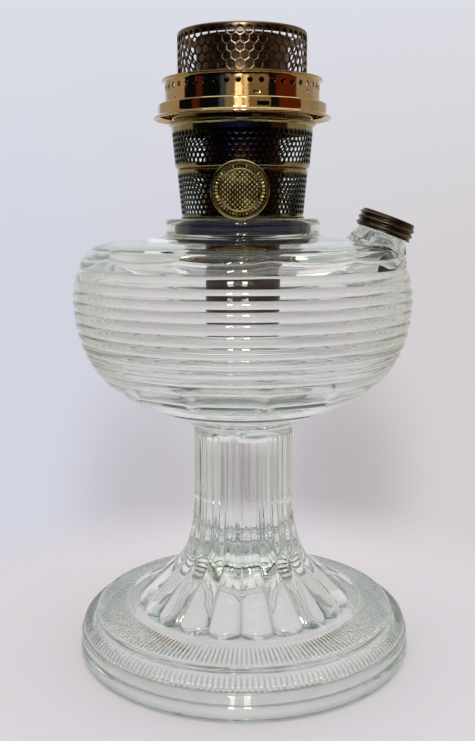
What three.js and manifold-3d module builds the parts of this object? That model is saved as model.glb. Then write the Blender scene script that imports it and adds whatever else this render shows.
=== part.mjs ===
import * as THREE from 'three';
import { mergeVertices } from 'three/addons/utils/BufferGeometryUtils.js';
import Module from 'manifold-3d';

// A pressed-glass table oil lamp with a round-wick burner, in millimetres, +Z up.
// The origin is the middle of the foot's underside, and the wick knob faces -Y.

const wasm = await Module();
wasm.setup();

// Clearances and stock shared by all pieces
const fitGap = 0.3;
const threadGap = 0.45;
const cutOverrun = 2;
const sheet = 0.8;
const tubeWall = 0.6;
const bowlSegments = 28;
const wallColumns = 24;
const tubeSegments = 24;
const smallSegments = 20;
const threadSteps = 3;
const boreSteps = 6;

// Glass foot: plain plinth, fluted bell, straight stem
const foot = {
  radius: 81.7,
  plinthHeight: 24,
  bellRadius: 51.8,
  bellHeight: 49,
  stemRadius: 24.15,
  stemFade: 3.5,
  waistRadius: 24.4,
  waistHeight: 107,
  cavityHeight: 100,
  fluteCount: 18,
  fluteSteps: 3,
  scallopDepth: 4,
};
const plinthShares = [
  [0.994, 0],
  [1, 0.033],
  [0.986, 0.475],
  [0.979, 0.608],
  [0.962, 0.704],
  [0.924, 0.746],
  [0.901, 0.754],
  [0.898, 0.871],
  [0.725, 0.975],
];
// Each row: share of the bell's spread, share of its height, share of the scallop's depth
const bellShares = [
  [1, 0, 1],
  [0.993, 0.033, 0.9],
  [0.895, 0.086, 0.6],
  [0.732, 0.167, 0.45],
  [0.577, 0.255, 0.4],
  [0.385, 0.345, 0.375],
  [0.22, 0.46, 0.35],
  [0.09, 0.67, 0.32],
  [0, 1, 0.275],
];
// Each row: share of the foot's radius, share of the cavity's height
const footCavityShares = [
  [0.93, 0],
  [0.915, 0.08],
  [0.84, 0.12],
  [0.54, 0.195],
  [0.385, 0.36],
  [0.3, 0.46],
  [0.245, 0.59],
  [0.2, 0.93],
  [0.14, 1],
  [0, 1],
];

// Glass font: ribbed bowl and shoulder, and the burner neck above them
const font = {
  radius: 80.3,
  height: 95.4,
  wall: 4.6,
  floorThickness: 9,
  ribCount: 18,
  ribDepth: 0.5,
  neckRadius: 36,
  neckHeight: 8.1,
  beadSwell: 0.4,
  rimEase: 1.2,
  ledgeHeight: 0.1,
  ledgeWidth: 2.5,
};
// Each row: share of the font's radius, share of its height
const bowlFootShares = [
  [0.306, 0.02],
  [0.32, 0.06],
  [0.376, 0.091],
];
const bowlShares = [
  [0.5915, 0.159],
  [0.74, 0.226],
  [0.826, 0.289],
  [0.909, 0.387],
  [0.958, 0.478],
  [0.989, 0.583],
  [1, 0.695],
  [0.991, 0.778],
  [0.968, 0.85],
  [0.9315, 0.912],
];
const shoulderShares = [
  [0.889, 0.95],
  [0.822, 0.969],
  [0.648, 0.987],
];

// Filler: glass neck and its screw cap, leaning outward at +X
const filler = {
  inset: 14.4,
  rise: 1.2,
  lean: THREE.MathUtils.degToRad(20.5),
  boreRadius: 8.6,
  boreDepth: 24,
  skirtDepth: 12,
  skirtRadius: 18.6,
  skirtWaist: 13.4,
  skirtWaistDepth: 3.6,
  pitch: 2.6,
  threadDepth: 0.9,
};
const cap = {
  radius: 12.75,
  height: 8.2,
  topEase: 0.9,
  gasketThickness: 1.2,
};

// Threaded joint between font and burner
const joint = {
  radius: 26.1,
  threadDepth: 0.9,
  pitch: 2.5,
  depth: 8,
  collarRadius: 31,
  washerThickness: 1,
  skirtWall: 1.1,
};

// Burner: base, two perforated baskets, two wick tubes
const burner = {
  flangeRadius: 29,
  lowerFoot: 28.5,
  lowerTop: 30.4,
  lowerHeight: 20.5,
  upperFoot: 31.1,
  upperTop: 32.9,
  upperHeight: 20,
  rimRadius: 34,
  rimRise: 1.6,
  collarRadius: 31.5,
  collarRise: 4.4,
  lap: 3,
  lowerRows: 3,
  lowerMargin: 1.2,
  upperRows: 2,
  upperFootMargin: 4,
  upperTopMargin: 2,
};
const wickTube = {
  outerRadius: 17.6,
  innerRadius: 13,
  depth: 33.4,
  rise: 15.1,
  innerRise: 1,
  innerTail: 2,
  plugHeight: 3,
};
const duct = {
  halfWidth: 5,
  rise: 4.6,
  height: 14,
  wall: 0.7,
  stickOut: 0.8,
};

// Wick, its carrier and the raiser
const wick = {
  travel: 12,
  footRise: 4,
  topDrop: 8,
};
const carrier = {
  wall: 0.7,
  drop: 12.4,
  height: 9.5,
  armSide: 5.4,
  armWidth: 3,
  armHeight: 3,
  armRise: 5.5,
};
const raiser = {
  rise: 11.4,
  shaftRadius: 1.5,
  teeth: 12,
  pitchRadius: 4.8,
  addendum: 0.6,
  backlash: 0.3,
  pressureAngle: THREE.MathUtils.degToRad(20),
  faceWidth: 3.7,
  tubeStandoff: 1.8,
  rackTeeth: 9,
  rackLead: 2,
  bracketHalfWidth: 4.6,
  bracketTopMargin: 4,
  bushRadius: 3,
  bushFlange: 4.5,
};
const knob = {
  radius: 13,
  standoff: 6.7,
  thickness: 3,
  rimWidth: 1.2,
  hubRadius: 3.4,
  bossRadius: 3.2,
  beadRadius: 8.6,
  beadWidth: 1.2,
  relief: 0.5,
};

// Flame spreader that drops into the inner wick tube
const spreader = {
  depth: 10,
  rise: 4,
  capRadius: 15,
  capCrown: 1.6,
  flangeWidth: 1,
};

// Gallery: outer ring with the chimney seat, perforated crown, inner cone
const gallery = {
  ringRadius: 35.7,
  ringHeight: 11.4,
  lipRadius: 37.1,
  lipRise: 0.9,
  stepRadius: 39,
  stepHeight: 3,
  flangeRadius: 41.1,
  flangeDrop: 2.5,
  crownRadius: 29.7,
  crownHeight: 33.1,
  crownRim: 3,
  crownEase: 1,
  coneRadius: 21.2,
  coneHeight: 30.1,
  coneNeck: 13,
  coneSpread: 27.6,
  lipDepth: 3,
  crownFoot: 0.9,
  grooveDepth: 0.2,
  holeRow: 7.1,
  holeSize: 3.6,
  crownRows: 4,
  crownFootMargin: 2.4,
};

// Materials: colour, roughness and metalness as the photograph shows them
const finish = {
  glass: new THREE.MeshStandardMaterial({ color: 0xd4dbd4, roughness: 0.05, metalness: 0 }),
  brass: new THREE.MeshStandardMaterial({ color: 0xb8913f, roughness: 0.25, metalness: 1 }),
  bronze: new THREE.MeshStandardMaterial({ color: 0x8a6a3c, roughness: 0.4, metalness: 1 }),
  patina: new THREE.MeshStandardMaterial({ color: 0x4d4a30, roughness: 0.5, metalness: 1 }),
  black: new THREE.MeshStandardMaterial({ color: 0x1c1712, roughness: 0.45, metalness: 1 }),
  cotton: new THREE.MeshStandardMaterial({ color: 0xd9d0bb, roughness: 0.95, metalness: 0 }),
  cork: new THREE.MeshStandardMaterial({ color: 0x9a7448, roughness: 0.9, metalness: 0 }),
  plaster: new THREE.MeshStandardMaterial({ color: 0xcfc8b8, roughness: 0.9, metalness: 0 }),
  steel: new THREE.MeshStandardMaterial({ color: 0x8c8c8a, roughness: 0.35, metalness: 1 }),
};

// Heights that follow from the sizes above
const neckFoot = foot.waistHeight + font.height;
const neckTop = neckFoot + font.neckHeight;
const neckBore = joint.collarRadius + fitGap + sheet + fitGap;
const ledgeTop = neckFoot + font.ledgeHeight;
const washerTop = neckTop - sheet / 4;
const collarTop = washerTop - joint.washerThickness - fitGap;
const flangeBottom = washerTop + fitGap;
const flangeTop = flangeBottom + sheet;
const baseFloor = flangeBottom - joint.depth;
const lowerTopZ = flangeTop + burner.lowerHeight;
const upperFootZ = lowerTopZ + fitGap;
const upperTopZ = upperFootZ + burner.upperHeight;
const burnerRimZ = upperTopZ + burner.rimRise;
const burnerCollarZ = burnerRimZ + burner.collarRise;
const galleryFootZ = burnerCollarZ + fitGap;
const coneFlangeTop = galleryFootZ + sheet;
const crownFlangeTop = coneFlangeTop + sheet;
const seatTop = crownFlangeTop + sheet;
const tubeBottom = flangeTop - wickTube.depth;
const tubeTop = seatTop + wickTube.rise;
const innerTubeTop = tubeTop + wickTube.innerRise;
const outerTubeBore = wickTube.outerRadius - tubeWall;
const innerTubeBore = wickTube.innerRadius - tubeWall;
const wickOuter = outerTubeBore - fitGap - carrier.wall - fitGap;
const wickInner = wickTube.innerRadius + fitGap;
const wickTop = tubeTop - wick.topDrop;
const wickBottom = tubeBottom + wick.footRise;
const innerTubeBottom = wickBottom - wickTube.innerTail;
const ductBottom = flangeTop + duct.rise;
const carrierBottom = flangeTop - carrier.drop;
const shaftHeight = flangeTop + raiser.rise;
const fillerReach = font.radius - filler.inset;
const fillerHeight = neckFoot + filler.rise;

// A solid from a closed surface, with its doubled corners merged
function toSolid(geometry) {
  const plain = geometry.index ? geometry.toNonIndexed() : geometry.clone();
  plain.deleteAttribute('normal');
  plain.deleteAttribute('uv');
  const merged = mergeVertices(plain);
  const corners = merged.index.array;
  const kept = [];
  for (let at = 0; at < corners.length; at += 3) {
    const [a, b, c] = corners.slice(at, at + 3);
    if (a !== b && b !== c && c !== a) kept.push(a, b, c);
  }
  return new wasm.Manifold(new wasm.Mesh({
    numProp: 3,
    vertProperties: merged.attributes.position.array,
    triVerts: new Uint32Array(kept),
  }));
}

function toGeometry(solid) {
  const { vertProperties, triVerts } = solid.getMesh();
  const geometry = new THREE.BufferGeometry();
  geometry.setAttribute('position', new THREE.BufferAttribute(vertProperties, 3));
  geometry.setIndex(new THREE.BufferAttribute(triVerts, 1));
  geometry.computeVertexNormals();
  return geometry;
}

// A solid turned round the Z axis from an outline listed up its outside and down its inside
function turned(outline, segments = tubeSegments) {
  const points = outline.map(([radius, height]) => new THREE.Vector2(radius, height));
  const start = points[0];
  const end = points[points.length - 1];
  if (start.x > 0 || end.x > 0) points.push(start.clone());
  return toSolid(new THREE.LatheGeometry(points, segments).rotateX(Math.PI / 2));
}

function ring(inner, outer, bottom, top, segments = tubeSegments) {
  return turned([[inner, bottom], [outer, bottom], [outer, top], [inner, top]], segments);
}

function disc(radius, bottom, top, segments = tubeSegments) {
  return turned([[0, bottom], [radius, bottom], [radius, top], [0, top]], segments);
}

function box(fromX, toX, fromY, toY, fromZ, toZ) {
  const geometry = new THREE.BoxGeometry(toX - fromX, toY - fromY, toZ - fromZ);
  geometry.translate((fromX + toX) / 2, (fromY + toY) / 2, (fromZ + toZ) / 2);
  return toSolid(geometry);
}

// A solid of rings whose radius may change with the angle; a ring of radius 0 is a point
function ringed(rows, segments, radiusAt) {
  const points = rows.map((row) => {
    const around = [];
    for (let step = 0; step < segments; step += 1) {
      const angle = step / segments * Math.PI * 2;
      const radius = radiusAt(row, angle);
      around.push([radius * Math.cos(angle), radius * Math.sin(angle), row.height]);
    }
    return around;
  });
  const faces = [];
  for (let at = 0; at < points.length; at += 1) {
    const here = points[at];
    const next = points[(at + 1) % points.length];
    for (let step = 0; step < segments; step += 1) {
      const after = (step + 1) % segments;
      faces.push(here[step], here[after], next[after], here[step], next[after], next[step]);
    }
  }
  return toSolid(meshOf(faces));
}

function meshOf(corners) {
  const geometry = new THREE.BufferGeometry();
  geometry.setAttribute('position', new THREE.Float32BufferAttribute(corners.flat(), 3));
  return geometry;
}

// Depth of a right-handed thread at a height and an angle, from 0 at the root to 1 at the crest
function threadShare(height, angle, pitch) {
  return (1 + Math.cos((height / pitch - angle / Math.PI / 2) * Math.PI * 2)) / 2;
}

// Rows up a threaded face, a few to each turn of the thread
function threadRows(bottom, top, pitch, values) {
  const count = Math.ceil((top - bottom) / pitch * threadSteps);
  const rows = [];
  for (let at = 0; at <= count; at += 1) {
    rows.push({ height: bottom + (top - bottom) * at / count, ...values });
  }
  return rows;
}

function threadedRadius(pitch) {
  return (row, angle) => {
    const depth = row.thread ?? 0;
    return row.radius + (depth > 0 ? depth * threadShare(row.height, angle, pitch) : 0);
  };
}

// A thin round wall with staggered four-cornered holes; rows run up the wall
function perforatedWall(rows, columns, isOpen) {
  const faces = [];
  const at = (radius, height, column) => {
    const angle = column / columns * Math.PI * 2;
    return [radius * Math.cos(angle), radius * Math.sin(angle), height];
  };
  const quad = (a, b, c, d) => faces.push(a, b, c, a, c, d);
  const mix = (a, b, share) => a.map((value, axis) => value + (b[axis] - value) * share);
  const middle = (a, b, c, d) => mix(mix(a, b, 0.5), mix(c, d, 0.5), 0.5);
  const holeShare = 0.76;
  const holeOf = (cell) => {
    const centre = middle(...cell);
    return cell.map((corner, side) => mix(centre, mix(corner, cell[(side + 1) % 4], 0.5), holeShare));
  };
  const frame = (cell, hole) => cell.forEach((corner, side) => {
    const next = (side + 1) % 4;
    faces.push(corner, cell[next], hole[side], cell[next], hole[next], hole[side]);
  });
  for (let row = 0; row + 1 < rows.length; row += 1) {
    const low = rows[row];
    const high = rows[row + 1];
    for (let column = 0; column < columns; column += 1) {
      const outer = [
        at(low.outer, low.height, column),
        at(low.outer, low.height, column + 1),
        at(high.outer, high.height, column + 1),
        at(high.outer, high.height, column),
      ];
      const inner = [
        at(low.inner, low.height, column + 1),
        at(low.inner, low.height, column),
        at(high.inner, high.height, column),
        at(high.inner, high.height, column + 1),
      ];
      if (isOpen(row, column)) {
        const outerHole = holeOf(outer);
        const innerHole = holeOf(inner);
        frame(outer, outerHole);
        frame(inner, innerHole);
        const [south, east, north, west] = outerHole;
        const [innerSouth, innerWest, innerNorth, innerEast] = innerHole;
        quad(south, east, innerEast, innerSouth);
        quad(east, north, innerNorth, innerEast);
        quad(north, west, innerWest, innerNorth);
        quad(west, south, innerSouth, innerWest);
      } else {
        quad(...outer);
        quad(...inner);
      }
    }
  }
  const last = rows[rows.length - 1];
  const first = rows[0];
  for (let column = 0; column < columns; column += 1) {
    const next = column + 1;
    quad(at(last.outer, last.height, column), at(last.outer, last.height, next),
      at(last.inner, last.height, next), at(last.inner, last.height, column));
    quad(at(first.inner, first.height, column), at(first.inner, first.height, next),
      at(first.outer, first.height, next), at(first.outer, first.height, column));
  }
  return toSolid(meshOf(faces));
}

// Rows of a wall of one thickness that runs evenly between two radii
function wallRows(count, footRadius, topRadius, bottom, top, thickness) {
  const rows = [];
  for (let at = 0; at <= count; at += 1) {
    const radius = THREE.MathUtils.lerp(footRadius, topRadius, at / count);
    const height = THREE.MathUtils.lerp(bottom, top, at / count);
    rows.push({ outer: radius, inner: radius - thickness, height });
  }
  return rows;
}

const staggered = (from, to) => (row, column) => row >= from && row < to && (row + column) % 2 === 0;

// Group of the whole lamp, groups of its sub-assemblies, and the way each piece joins its group
const lamp = new THREE.Group();
lamp.name = 'glass_oil_lamp';

function addGroup(parent = lamp) {
  const group = new THREE.Group();
  parent.add(group);
  return group;
}

function addPiece(name, solid, material, parent = lamp) {
  const mesh = new THREE.Mesh(toGeometry(solid), material.clone());
  mesh.name = name;
  parent.add(mesh);
}

// Foot: a plinth, a bell of rounded pillars with scalloped feet, and a straight stem
function makeFoot() {
  const bellSpread = foot.bellRadius - foot.stemRadius;
  const stemTop = foot.waistHeight - foot.stemFade;
  const stemDepth = bellShares[bellShares.length - 1][2] * foot.scallopDepth;
  const rows = [{ radius: 0, depth: 0, height: 0 }];
  for (const [radiusShare, heightShare] of plinthShares) {
    rows.push({ radius: foot.radius * radiusShare, depth: 0, height: foot.plinthHeight * heightShare });
  }
  for (const [spreadShare, heightShare, depthShare] of bellShares) {
    rows.push({
      radius: foot.stemRadius + bellSpread * spreadShare,
      depth: foot.scallopDepth * depthShare,
      height: foot.plinthHeight + foot.bellHeight * heightShare,
    });
  }
  rows.push({ radius: foot.stemRadius, depth: stemDepth, height: stemTop });
  rows.push({ radius: foot.waistRadius, depth: 0, height: foot.waistHeight });
  rows.push({ radius: 0, depth: 0, height: foot.waistHeight });
  const flute = Math.PI * 2 / foot.fluteCount;
  const pillarRadius = (row, angle) => {
    const across = (angle / flute % 1) * 2 - 1;
    return row.radius - row.depth * across * across;
  };
  const body = ringed(rows, foot.fluteCount * foot.fluteSteps, pillarRadius);
  const cavity = footCavityShares.map(([radiusShare, heightShare]) => [
    foot.radius * radiusShare,
    foot.cavityHeight * heightShare,
  ]);
  const mouth = foot.radius * footCavityShares[0][0];
  return body.subtract(turned([[0, -cutOverrun], [mouth, -cutOverrun], ...cavity]));
}

// Outline of the bowl's ribbed side: groove and crest in turn, evenly spaced along the curve
function ribbedSide() {
  const side = new THREE.SplineCurve(bowlShares.map(fontPoint));
  const steps = font.ribCount * 2;
  const points = [];
  for (let at = 0; at <= steps; at += 1) {
    const point = side.getPointAt(at / steps);
    const tangent = side.getTangentAt(at / steps);
    const depth = at % 2 === 0 ? font.ribDepth : 0;
    points.push([point.x - tangent.y * depth, point.y + tangent.x * depth]);
  }
  return points;
}

function fontPoint([radiusShare, heightShare]) {
  return new THREE.Vector2(font.radius * radiusShare, foot.waistHeight + font.height * heightShare);
}

function bowlInside() {
  const side = new THREE.SplineCurve([...bowlShares, ...shoulderShares].map(fontPoint));
  const steps = bowlShares.length - 1;
  const points = [];
  for (let at = 0; at < steps; at += 1) {
    const point = side.getPointAt(at / steps);
    const tangent = side.getTangentAt(at / steps);
    points.push([point.x - tangent.y * font.wall, point.y + tangent.x * font.wall]);
  }
  return points;
}

function leanFiller(solid) {
  const geometry = toGeometry(solid);
  geometry.rotateY(filler.lean);
  geometry.translate(fillerReach, 0, fillerHeight);
  return toSolid(geometry);
}

// Heights in the filler's own frame, from the cap's lower edge
const capInnerTop = cap.height - sheet;
const gasketBottom = capInnerTop - fitGap - cap.gasketThickness;
const fillerRim = gasketBottom - fitGap;
const fillerThreadRadius = cap.radius - sheet - threadGap;

// Leaning glass neck with its thread and the skirt that joins it to the shoulder
function makeFillerNeck() {
  const rows = [
    { height: -filler.skirtDepth, radius: 0 },
    { height: -filler.skirtDepth, radius: filler.skirtRadius },
    { height: -filler.skirtWaistDepth, radius: filler.skirtWaist },
    { height: 0, radius: fillerThreadRadius },
    ...threadRows(sheet, fillerRim - sheet, filler.pitch, {
      radius: fillerThreadRadius,
      thread: filler.threadDepth,
    }),
    { height: fillerRim, radius: fillerThreadRadius - sheet },
    { height: fillerRim, radius: 0 },
  ];
  const upright = ringed(rows, smallSegments, threadedRadius(filler.pitch));
  return leanFiller(upright).subtract(bowlOutside()).subtract(fillerBore());
}

// Outside of the font as far as the ledge that the burner neck stands on
function bowlOutside() {
  const shoulder = shoulderShares.map(fontPoint).map((point) => [point.x, point.y]);
  const underside = bowlFootShares.map(fontPoint).map((point) => [point.x, point.y]);
  return turned([
    [0, foot.waistHeight],
    [foot.waistRadius, foot.waistHeight],
    ...underside,
    ...ribbedSide(),
    ...shoulder,
    [font.neckRadius + font.rimEase, ledgeTop],
    [0, ledgeTop],
  ], bowlSegments);
}

function fillerBore() {
  return leanFiller(disc(filler.boreRadius, -filler.boreDepth, cap.height, smallSegments));
}

function makeFont() {
  const inside = bowlInside();
  const highest = inside[inside.length - 1];
  const ledgeRadius = neckBore - font.ledgeWidth;
  const cavity = turned([
    [0, foot.waistHeight + font.floorThickness],
    [ledgeRadius / 2, foot.waistHeight + font.floorThickness],
    ...inside,
    [ledgeRadius, highest[1]],
    [ledgeRadius, ledgeTop + cutOverrun],
    [0, ledgeTop + cutOverrun],
  ], bowlSegments);
  return bowlOutside().subtract(cavity).subtract(fillerBore());
}

// Glass neck round the collar, with a swelling under its rim
function makeBurnerNeck() {
  return turned([
    [neckBore, ledgeTop],
    [font.neckRadius + font.rimEase, ledgeTop],
    [font.neckRadius, ledgeTop + font.rimEase],
    [font.neckRadius + font.beadSwell, (neckFoot + neckTop + neckTop) / 3],
    [font.neckRadius, neckTop - font.rimEase / 2],
    [font.neckRadius - font.rimEase, neckTop],
    [neckBore, neckTop],
  ], bowlSegments);
}

// Brass collar cemented into the neck, with the thread that holds the burner
function makeCollar() {
  const inside = threadRows(ledgeTop, collarTop, joint.pitch, {
    radius: joint.radius + threadGap,
    thread: joint.threadDepth,
  });
  const rows = [
    { height: ledgeTop, radius: joint.collarRadius },
    { height: collarTop, radius: joint.collarRadius },
    ...inside.reverse(),
  ];
  return ringed(rows, tubeSegments, threadedRadius(joint.pitch));
}

function makeBurnerBase() {
  const bore = joint.radius - joint.skirtWall;
  const hole = wickTube.outerRadius + fitGap;
  const rows = [
    { height: baseFloor, radius: joint.radius },
    ...threadRows(baseFloor + sheet, collarTop, joint.pitch, {
      radius: joint.radius,
      thread: joint.threadDepth,
    }),
    { height: flangeBottom, radius: joint.radius },
    { height: flangeBottom, radius: burner.flangeRadius },
    { height: flangeTop, radius: burner.flangeRadius },
    { height: flangeTop, radius: bore },
    { height: baseFloor + sheet, radius: bore },
    { height: baseFloor + sheet, radius: hole },
    { height: baseFloor, radius: hole },
  ];
  return ringed(rows, tubeSegments, threadedRadius(joint.pitch));
}

// Radius of the lower basket's outside at a height
function lowerRadiusAt(height) {
  return THREE.MathUtils.mapLinear(height, flangeTop, lowerTopZ, burner.lowerFoot, burner.lowerTop);
}

const wallAtShaft = lowerRadiusAt(shaftHeight);

// Moves a solid from the shaft's own frame to the lamp's: height turns into distance in front of the axis
function aboutShaft(solid) {
  const geometry = toGeometry(solid);
  geometry.rotateX(Math.PI / 2);
  geometry.translate(0, 0, shaftHeight);
  return toSolid(geometry);
}

function makeLowerBasket() {
  const lapRadius = burner.upperFoot - sheet - fitGap;
  const low = flangeTop + burner.lowerMargin;
  const high = lowerTopZ - burner.lowerMargin;
  const rows = [
    { outer: burner.lowerFoot, inner: burner.lowerFoot - sheet, height: flangeTop },
    ...wallRows(burner.lowerRows, lowerRadiusAt(low), lowerRadiusAt(high), low, high, sheet),
    { outer: burner.lowerTop, inner: lapRadius - sheet, height: lowerTopZ },
    { outer: lapRadius, inner: lapRadius - sheet, height: upperFootZ },
    { outer: lapRadius, inner: lapRadius - sheet, height: upperFootZ + burner.lap },
  ];
  const pattern = staggered(1, 1 + burner.lowerRows);
  const blank = Math.asin((raiser.bushFlange + sheet) / wallAtShaft);
  const isOpen = (row, column) => {
    const angle = (column + 1 / 2) / wallColumns * Math.PI * 2;
    return pattern(row, column) && Math.abs(angle - Math.PI * 3 / 2) > blank;
  };
  const shaftHole = aboutShaft(disc(raiser.bushRadius + fitGap, wickTube.outerRadius,
    wallAtShaft + cutOverrun, smallSegments));
  return perforatedWall(rows, wallColumns, isOpen).subtract(shaftHole);
}

function makeUpperBasket() {
  const low = upperFootZ + burner.upperFootMargin;
  const high = upperTopZ - burner.upperTopMargin;
  const radiusAt = (height) => THREE.MathUtils.mapLinear(
    height, upperFootZ, upperTopZ, burner.upperFoot, burner.upperTop);
  const collarInside = burner.collarRadius - sheet;
  const rows = [
    { outer: burner.upperFoot, inner: burner.upperFoot - sheet, height: upperFootZ },
    ...wallRows(burner.upperRows, radiusAt(low), radiusAt(high), low, high, sheet),
    { outer: burner.upperTop, inner: burner.upperTop - sheet, height: upperTopZ },
    { outer: burner.rimRadius, inner: burner.upperTop - sheet, height: upperTopZ + sheet },
    { outer: burner.rimRadius, inner: burner.upperTop - sheet, height: burnerRimZ },
    { outer: burner.collarRadius, inner: collarInside, height: burnerRimZ + sheet },
    { outer: burner.collarRadius, inner: collarInside, height: burnerCollarZ },
  ];
  return perforatedWall(rows, wallColumns, staggered(1, 1 + burner.upperRows));
}

// Windows through both wick tubes for the air ducts
function ductWindows(reach) {
  const halfWidth = duct.halfWidth + fitGap;
  return box(-reach, reach, -halfWidth, halfWidth,
    ductBottom - fitGap, ductBottom + duct.height + fitGap);
}

const armTop = carrierBottom + carrier.armRise + carrier.armHeight;
const armBottom = carrierBottom + carrier.armRise;
const armOuter = carrier.armSide + carrier.armWidth;
const raiserInner = wickTube.outerRadius + raiser.tubeStandoff;
const raiserOuter = raiserInner + raiser.faceWidth;

function makeOuterTube() {
  const reach = wickTube.outerRadius + cutOverrun;
  const armSlot = box(-armOuter - fitGap, -carrier.armSide + fitGap, -reach, -wickTube.innerRadius,
    armBottom - fitGap, armTop + wick.travel + fitGap);
  return ring(outerTubeBore, wickTube.outerRadius, tubeBottom, tubeTop)
    .subtract(ductWindows(reach))
    .subtract(armSlot);
}

function makeInnerTube() {
  return ring(innerTubeBore, wickTube.innerRadius, innerTubeBottom, innerTubeTop)
    .subtract(ductWindows(wickTube.innerRadius + cutOverrun));
}

function makeTubeBottom() {
  const radius = innerTubeBore - fitGap;
  const rim = innerTubeBottom + wickTube.plugHeight;
  return turned([
    [0, innerTubeBottom],
    [radius, innerTubeBottom],
    [radius, rim],
    [radius - sheet, rim],
    [radius - sheet, innerTubeBottom + sheet],
    [0, innerTubeBottom + sheet],
  ]);
}

// One rectangular sleeve that carries air from the basket to the inner tube
function makeDuct(side) {
  const inner = Math.sqrt(innerTubeBore ** 2 - duct.halfWidth ** 2) - fitGap;
  const outer = wickTube.outerRadius + duct.stickOut;
  const [from, to] = side > 0 ? [inner, outer] : [-outer, -inner];
  const top = ductBottom + duct.height;
  const clearWidth = duct.halfWidth - duct.wall;
  return box(from, to, -duct.halfWidth, duct.halfWidth, ductBottom, top)
    .subtract(box(from - cutOverrun, to + cutOverrun, -clearWidth, clearWidth,
      ductBottom + duct.wall, top - duct.wall));
}

// The slots that let the wick and its carrier slide past the ducts
function ductSlots() {
  const halfWidth = duct.halfWidth + fitGap * 3;
  const reach = wickTube.outerRadius;
  return box(-reach, reach, -halfWidth, halfWidth, ductBottom - wick.travel - fitGap * 2,
    ductBottom + duct.height + fitGap * 2);
}

function makeWick() {
  return ring(wickInner, wickOuter, wickBottom, wickTop).subtract(ductSlots());
}

const toothPitch = raiser.pitchRadius * Math.PI * 2 / raiser.teeth;
const rootDepth = raiser.addendum + fitGap;

// A toothed plate as wide as the gearing, in the shaft's own frame
function gearPlate(shape) {
  const geometry = new THREE.ExtrudeGeometry(shape, {
    depth: raiser.faceWidth,
    bevelEnabled: false,
    curveSegments: boreSteps,
  });
  geometry.translate(0, 0, raiserInner);
  return toSolid(geometry);
}

// Rack outline: a strip whose teeth point at the pinion, its height counted from the shaft
function rackShape() {
  const tip = -raiser.pitchRadius + raiser.addendum;
  const root = -raiser.pitchRadius - rootDepth;
  const slope = Math.tan(raiser.pressureAngle);
  const half = (toothPitch / 2 - raiser.backlash) / 2;
  const topTooth = toothPitch * (raiser.rackLead - 1 / 2);
  const lowest = armBottom - shaftHeight;
  const shape = new THREE.Shape();
  shape.moveTo(-armOuter, lowest);
  shape.lineTo(root, lowest);
  for (let tooth = raiser.rackTeeth - 1; tooth >= 0; tooth -= 1) {
    const middle = topTooth - tooth * toothPitch;
    shape.lineTo(root, middle - half - slope * rootDepth);
    shape.lineTo(tip, middle - half + slope * raiser.addendum);
    shape.lineTo(tip, middle + half - slope * raiser.addendum);
    shape.lineTo(root, middle + half + slope * rootDepth);
  }
  shape.lineTo(-armOuter, topTooth + half + slope * rootDepth);
  return shape;
}

function makeCarrier() {
  const bandInner = wickOuter + fitGap;
  const band = ring(bandInner, outerTubeBore - fitGap, carrierBottom, carrierBottom + carrier.height)
    .subtract(ductSlots());
  const arm = box(-armOuter, -carrier.armSide, -raiserInner - sheet, -wickTube.innerRadius,
    armBottom, armTop).subtract(disc(bandInner, armBottom - cutOverrun, armTop + cutOverrun));
  return band.add(arm).add(aboutShaft(gearPlate(rackShape())));
}

// Pinion outline with involute flanks, one tooth pointing at the rack
function pinionShape() {
  const baseRadius = raiser.pitchRadius * Math.cos(raiser.pressureAngle);
  const involute = (angle) => Math.tan(angle) - angle;
  const halfAngleAt = (radius) => {
    const pressure = Math.acos(Math.min(1, baseRadius / radius));
    const atPitch = Math.PI / 2 / raiser.teeth - raiser.backlash / 2 / raiser.pitchRadius;
    return atPitch + involute(raiser.pressureAngle) - involute(pressure);
  };
  const rootRadius = raiser.pitchRadius - rootDepth;
  const tipRadius = raiser.pitchRadius + raiser.addendum;
  const flank = [rootRadius, raiser.pitchRadius, tipRadius];
  const corners = [];
  for (let tooth = 0; tooth < raiser.teeth; tooth += 1) {
    const middle = tooth / raiser.teeth * Math.PI * 2;
    for (const radius of flank) corners.push([radius, middle - halfAngleAt(radius)]);
    for (const radius of flank.toReversed()) corners.push([radius, middle + halfAngleAt(radius)]);
  }
  const shape = new THREE.Shape(corners.map(([radius, angle]) => new THREE.Vector2(
    radius * Math.cos(angle), radius * Math.sin(angle))));
  const bore = new THREE.Path();
  bore.absarc(0, 0, raiser.shaftRadius + fitGap, 0, Math.PI * 2, true);
  shape.holes.push(bore);
  return shape;
}

function makeBracket() {
  const front = -raiserOuter - fitGap;
  const floorTop = baseFloor + sheet;
  const half = raiser.bracketHalfWidth;
  const upright = box(-half, half, front - sheet, front, floorTop, shaftHeight + raiser.bracketTopMargin);
  const tab = box(-half, half, front - sheet, -raiserInner - sheet, floorTop, floorTop + sheet);
  const hole = aboutShaft(disc(raiser.shaftRadius + fitGap, raiserInner, wallAtShaft, smallSegments));
  return upright.add(tab).subtract(hole);
}

// The pieces on the shaft, in its own frame: height is the distance from the burner's axis
const knobBack = wallAtShaft + knob.standoff;
const hubStart = knobBack - raiser.bushRadius;

function makeBush() {
  const bore = raiser.shaftRadius + fitGap;
  const start = wallAtShaft - sheet - fitGap * 3;
  const flangeStart = lowerRadiusAt(shaftHeight + raiser.bushFlange) + fitGap;
  return turned([
    [bore, start],
    [raiser.bushRadius, start],
    [raiser.bushRadius, flangeStart],
    [raiser.bushFlange, flangeStart],
    [raiser.bushFlange, flangeStart + sheet],
    [raiser.bushRadius, flangeStart + sheet],
    [raiser.bushRadius, hubStart - fitGap],
    [bore, hubStart - fitGap],
  ], smallSegments);
}

const knobPlateFront = knobBack + sheet;
const knobFront = knobBack + knob.thickness;
const faceBack = knobFront - knob.rimWidth - fitGap;

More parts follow.
